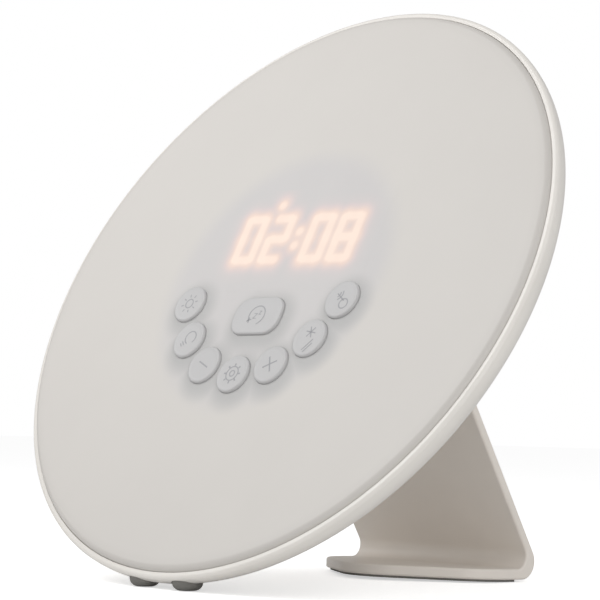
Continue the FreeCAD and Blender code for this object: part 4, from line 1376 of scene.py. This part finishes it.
@dataclass(frozen=True)
class Housing:
    """Dished moulded shell with its lip, battery bay, grille, screw wells and openings."""

    wall: float = 2.4
    skin: float = 0.01
    lip_depth: float = 1.2
    lip_round: float = 1.0
    mouth_round: float = 0.12
    rim_corner: float = 6.0
    rim_round: float = 6.9
    shoulder: tuple[float, float, float] = (68.5, 21.3, 110.0)
    back_radius: float = 48.0
    back_round: float = 10.0
    depth: float = 34.5
    mouth_gap: float = 0.06
    ledge_width: float = 3.6
    ledge_depth: float = 5.25
    bay: tuple[float, float, float] = (51.3, 22.0, -28.5)
    bay_floor: float = 21.5
    bay_wall: float = 1.5
    door_lip: float = 1.5
    door_seat: float = 32.5
    well_circle: float = 43.9
    well_angles: tuple[float, ...] = (45.0, 135.0, 210.0, 330.0)
    well_radius: float = 2.7
    well_wall: float = 3.5
    well_seat: float = 19.5
    socket: tuple[float, float, float] = (4.15, 29.0, 16.0)
    aerial: tuple[float, float, float] = (1.5, -34.0, 18.0)
    grille_height: float = 27.0
    grille_radius: float = 13.5
    grille_pitch: float = 4.2
    grille_hole: float = 1.1
    grille_sides: int = 20
    wall_end: float = 32.6
    post_cover: float = 2.0
    socket_start: float = 20.0
    hole_start: float = 30.0
    well_sides: int = 40
    aerial_sides: int = 32
    back_edge: float = 0.25
    section_step: float = 4.0
    foot_gap: float = 0.15
    foot_well: float = 20.0
    foot_sides: int = 48
    steps: int = 240

    def build(self, material: bpy.types.Material) -> bpy.types.Object:
        """Makes the shell.

        Args:
            material: Its finish.

        Returns:
            The shell.
        """
        shell = turned("shell", self.profile(), self.steps)
        for part in self.added():
            combined(shell, part, Joint.ADD)
        for tool in self.tools():
            combined(shell, tool, Joint.CUT)
        eased_edges(shell, self.on_back, self.back_edge)
        set_down(shell)
        combined(shell, self.foot_wells(), Joint.CUT)
        evened(shell)
        dressed(shell, material)
        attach(shell, "clock")
        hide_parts("rear_housing")
        return shell

    def profile(self) -> list[Point]:
        """Draws the wall's section, outside first and then inside.

        Returns:
            Points (radius, depth).
        """
        rim = half_width("rear_housing") - self.skin
        mouth = half_width("front_diffuser") + self.mouth_gap
        ledge = mouth - self.ledge_width
        turn, turn_depth, turn_round = self.shoulder
        rim_line = self.moved((rim, self.rim_corner), (turn, turn_depth))
        back_line = self.moved((turn, turn_depth), (self.back_radius, self.depth))
        inner_depth = self.depth - self.wall
        floor_line = (Vector((0.0, inner_depth)), Vector((1.0, 0.0)))
        inner_turn = self.meeting(rim_line, back_line)
        inner_back = self.meeting(back_line, floor_line)
        ledge_end = self.meeting(rim_line, (Vector((ledge, 0.0)), Vector((0.0, 1.0))))
        return rounded([
            (0.0, self.depth, 0.0), (self.back_radius, self.depth, self.back_round),
            (turn, turn_depth, turn_round), (rim, self.rim_corner, self.rim_round),
            (rim, self.lip_depth, self.lip_round), (mouth, self.lip_depth, self.mouth_round),
            (mouth, self.ledge_depth, 0.0), (ledge, self.ledge_depth, 0.0), (*ledge_end, 0.0),
            (*inner_turn, turn_round), (*inner_back, self.back_round - self.wall), (0.0, inner_depth, 0.0),
        ], self.section_step)

    def moved(self, first: Point, last: Point) -> tuple[Vector, Vector]:
        """Moves a line of the section inwards by the wall.

        Args:
            first: One end (radius, depth).
            last: The other end.

        Returns:
            A point on the moved line and its direction.
        """
        along = (Vector(last) - Vector(first)).normalized()
        inward = Vector((-abs(along.y), -abs(along.x)))
        return Vector(first) + inward * self.wall, along

    def meeting(self, one: tuple[Vector, Vector], other: tuple[Vector, Vector]) -> Point:
        """Finds where two lines of the section cross.

        Args:
            one: A point and a direction.
            other: A point and a direction.

        Returns:
            The crossing (radius, depth).
        """
        gap = other[0] - one[0]
        share = gap.cross(other[1]) / one[1].cross(other[1])
        return tuple(one[0] + one[1] * share)

    def wells(self) -> list[Point]:
        """Finds the middles of the four screw wells."""
        return [on_circle(self.well_circle, angle) for angle in self.well_angles]

    def added(self) -> list[bpy.types.Object]:
        """Makes the walls round the battery bay and the screw wells."""
        width, height, middle = self.bay
        half, rise = width / 2 + self.bay_wall, height / 2 + self.bay_wall
        tub = prism(rectangle(half, rise, middle), self.bay_floor - self.bay_wall, self.wall_end)
        size = (self.well_wall, self.well_seat - self.post_cover, self.wall_end)
        posts = [rod(*size, place, self.well_sides) for place in self.wells()]
        return [tub, joined("posts", posts)]

    def tools(self) -> list[bpy.types.Object]:
        """Makes the shapes that are cut from the shell's back."""
        width, height, middle = self.bay
        outside = self.depth + CUT_PAST
        hollow = prism(rectangle(width / 2, height / 2, middle), self.bay_floor, outside)
        half, rise = width / 2 + self.door_lip, height / 2 + self.door_lip
        door = prism(rectangle(half, rise, middle, self.door_lip), self.door_seat, outside)
        well = (self.well_radius, self.well_seat, outside)
        holes = [rod(*well, place, self.well_sides) for place in self.wells()]
        holes.append(rod(self.socket[0], self.socket_start, outside, self.socket[1:]))
        holes.append(rod(self.aerial[0], self.hole_start, outside, self.aerial[1:], self.aerial_sides))
        hole = (self.grille_hole, self.hole_start, outside)
        for x, z in self.grille_places():
            holes.append(rod(*hole, (x, z + self.grille_height), self.grille_sides))
        return [hollow, door, joined("holes", holes)]

    def grille_places(self) -> list[Point]:
        """Lays out the grille's holes on a hexagonal field.

        Returns:
            Places (x, z) from the grille's middle.
        """
        rows = int(self.grille_radius / self.grille_pitch) + 1
        field_places = []
        for row in range(-rows, rows + 1):
            for column in range(-rows, rows + 1):
                x = (column + row % 2 / 2) * self.grille_pitch
                z = row * self.grille_pitch * math.sqrt(3) / 2
                if math.hypot(x, z) <= self.grille_radius:
                    field_places.append((x, z))
        return field_places

    def on_back(self, edge: bmesh.types.BMEdge) -> bool:
        """Says whether an edge lies on the flat back."""
        return all(abs(v.co.y - self.depth * MM) < NEAR for v in edge.verts)

    def foot_wells(self) -> bpy.types.Object:
        """Makes the shapes of the two pockets for the feet, in the room."""
        wells = []
        for node in ("foot_left", "foot_right"):
            low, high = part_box(node)
            middle = (low + high) / 2
            place = (middle.x, middle.y, high.z - self.foot_well / 2 * MM)
            radius = half_width(node) * MM + self.foot_gap * MM
            wells.append(bar(radius, self.foot_well * MM, place, self.foot_sides))
        return joined("foot_wells", wells)


@dataclass(frozen=True)
class HousingScrews:
    """The four pan-head screws at the bottom of the shell's wells."""

    seat: float = 19.5
    head_radius: float = 2.4
    head_height: float = 1.8
    shank_radius: float = 1.3
    length: float = 10.0
    slot_width: float = 0.75
    slot_length: float = 3.2
    slot_depth: float = 1.0
    slot_turns: tuple[float, float] = (45.0, 135.0)
    tip_round: float = 0.4
    under_round: float = 0.1
    top_round: float = 0.8
    steps: int = 40

    def build(self, places: list[Point], material: bpy.types.Material) -> bpy.types.Object:
        """Makes the screws.

        Args:
            places: Their places on the face.
            material: Their finish.

        Returns:
            The screws as one piece.
        """
        top = self.seat + self.head_height
        tip = self.seat - self.length
        outline = rounded([
            (0.0, tip, 0.0), (self.shank_radius, tip, self.tip_round),
            (self.shank_radius, self.seat, 0.0), (self.head_radius, self.seat, self.under_round),
            (self.head_radius, top, self.top_round), (0.0, top, 0.0),
        ], COARSE_STEP)
        screw = turned("screw", outline, self.steps)
        for turn in self.slot_turns:
            slot = dash(0, 0, self.slot_length, turn, self.slot_width)
            slot.scale = (1, 2 * self.slot_depth / INK_HEIGHT, 1)
            combined(screw, shifted(slot, 0, top, 0), Joint.CUT)
        shaded(screw)
        screws = [shifted(copied(screw), x, 0, z) for x, z in places]
        bpy.data.objects.remove(screw)
        piece = joined("screws", screws)
        dressed(piece, material)
        set_down(piece)
        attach(piece, "clock")
        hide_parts("housing_screws")
        return piece


@dataclass(frozen=True)
class Feet:
    """The two rubber feet, domed below, that sit in the shell's pockets."""

    dome: float = 2.1
    steps: int = 8
    sides: int = 64

    def build(self, material: bpy.types.Material) -> list[bpy.types.Object]:
        """Makes the feet.

        Args:
            material: Their finish.

        Returns:
            The two feet.
        """
        feet = []
        for side in ("left", "right"):
            low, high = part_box(f"foot_{side}")
            foot = bar((high.x - low.x) / 2, high.z - low.z, (low + high) / 2, self.sides)
            foot.name = f"rubber_{side}"
            with editing(foot, "EDGE"):
                pick(foot, "edges", lambda edge: all(v.co.z < low.z + NEAR for v in edge.verts))
                bpy.ops.mesh.bevel(offset=self.dome * MM, segments=self.steps, affect="EDGES")
            evened(foot)
            dressed(foot, material)
            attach(foot, "clock")
            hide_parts(f"foot_{side}")
            feet.append(foot)
        return feet


# Solids that stay as they are packed


@dataclass(frozen=True)
class Innards:
    """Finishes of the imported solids, by the solid's name or, for keys and plungers, by its family's."""

    finishes: dict[str, bpy.types.Material]

    def dress(self) -> int:
        """Gives each solid its finish.

        Returns:
            How many were dressed.
        """
        for name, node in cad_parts.items():
            family = name.split("_")[0] if name.startswith(("plunger_", "key_")) else name
            dressed(node, self.finishes[family])
        return len(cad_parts)


def main() -> None:
    """Builds the clock's looks and its studio."""
    logging.basicConfig(level=logging.INFO, format="%(message)s")
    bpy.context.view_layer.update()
    bpy.context.scene.view_settings.view_transform = "Standard"
    shell = MouldedPlastic("housing_plastic", srgb(229, 225, 219), 0.34).material()
    strap = MouldedPlastic("stand_plastic", srgb(233, 226, 218), 0.4).material()
    keys = MouldedPlastic("key_plastic", srgb(189, 188, 188), 0.5).material()
    ink = MouldedPlastic("sign_ink", srgb(160, 160, 163), 0.6, 0.3, 0.002).material()
    cover = MilkyCover().material()
    lit = MilkyCover(name="lit_cover", glow=True).material()
    rubber = MouldedPlastic("rubber", srgb(122, 120, 116), 0.8, 0.4, 0.02, 0.08, 0.3).material()
    white = MouldedPlastic("white_moulding", srgb(232, 231, 228), 0.6).material()
    black = MouldedPlastic("black_moulding", srgb(30, 30, 32), 0.5).material()
    board = MouldedPlastic("board_lacquer", srgb(28, 84, 48), 0.35, 1.2, 0.02, 0.1).material()
    amber = MouldedPlastic("amber_bars", srgb(255, 214, 170), 0.4).material()
    wire = MouldedPlastic("lead_insulation", srgb(150, 34, 28), 0.5).material()
    steel = PlatedSteel("plated_steel").material()
    families = {
        cover: ["front_diffuser"], shell: ["rear_housing", "battery_door"], strap: ["stand"],
        rubber: ["stand_pad", "foot_left", "foot_right", "speaker_gasket"], keys: ["key"],
        white: ["reflector", "control_cup", "led_board"], amber: ["display_segments", "leds"],
        board: ["control_board", "main_board"], wire: ["speaker_leads", "led_leads"],
        black: ["display_block", "main_board_parts", "board_link", "switch_bodies", "dc_socket",
                "speaker_cone", "speaker_magnet", "plunger"],
        steel: ["speaker_basket", "battery_contacts", "housing_screws", "stand_screws", "board_screws",
                "speaker_screws", "led_board_screws"],
    }
    finishes = {name: material for material, names in families.items() for name in names}
    LOG.info("dressed %d solids", Innards(finishes).dress())
    housing = Housing()
    pieces = [Cover().build(cover), housing.build(shell), HousingScrews().build(housing.wells(), steel)]
    pieces += Keys().build(keys, ink)
    pieces += Feet().build(rubber)
    pieces.append(DigitLight().build(lit))
    for piece in pieces:
        LOG.info("%s: %d faces", piece.name, len(piece.data.polygons))
    Studio().build()
    Viewpoint().build()


if __name__ == "__main__":
    main()
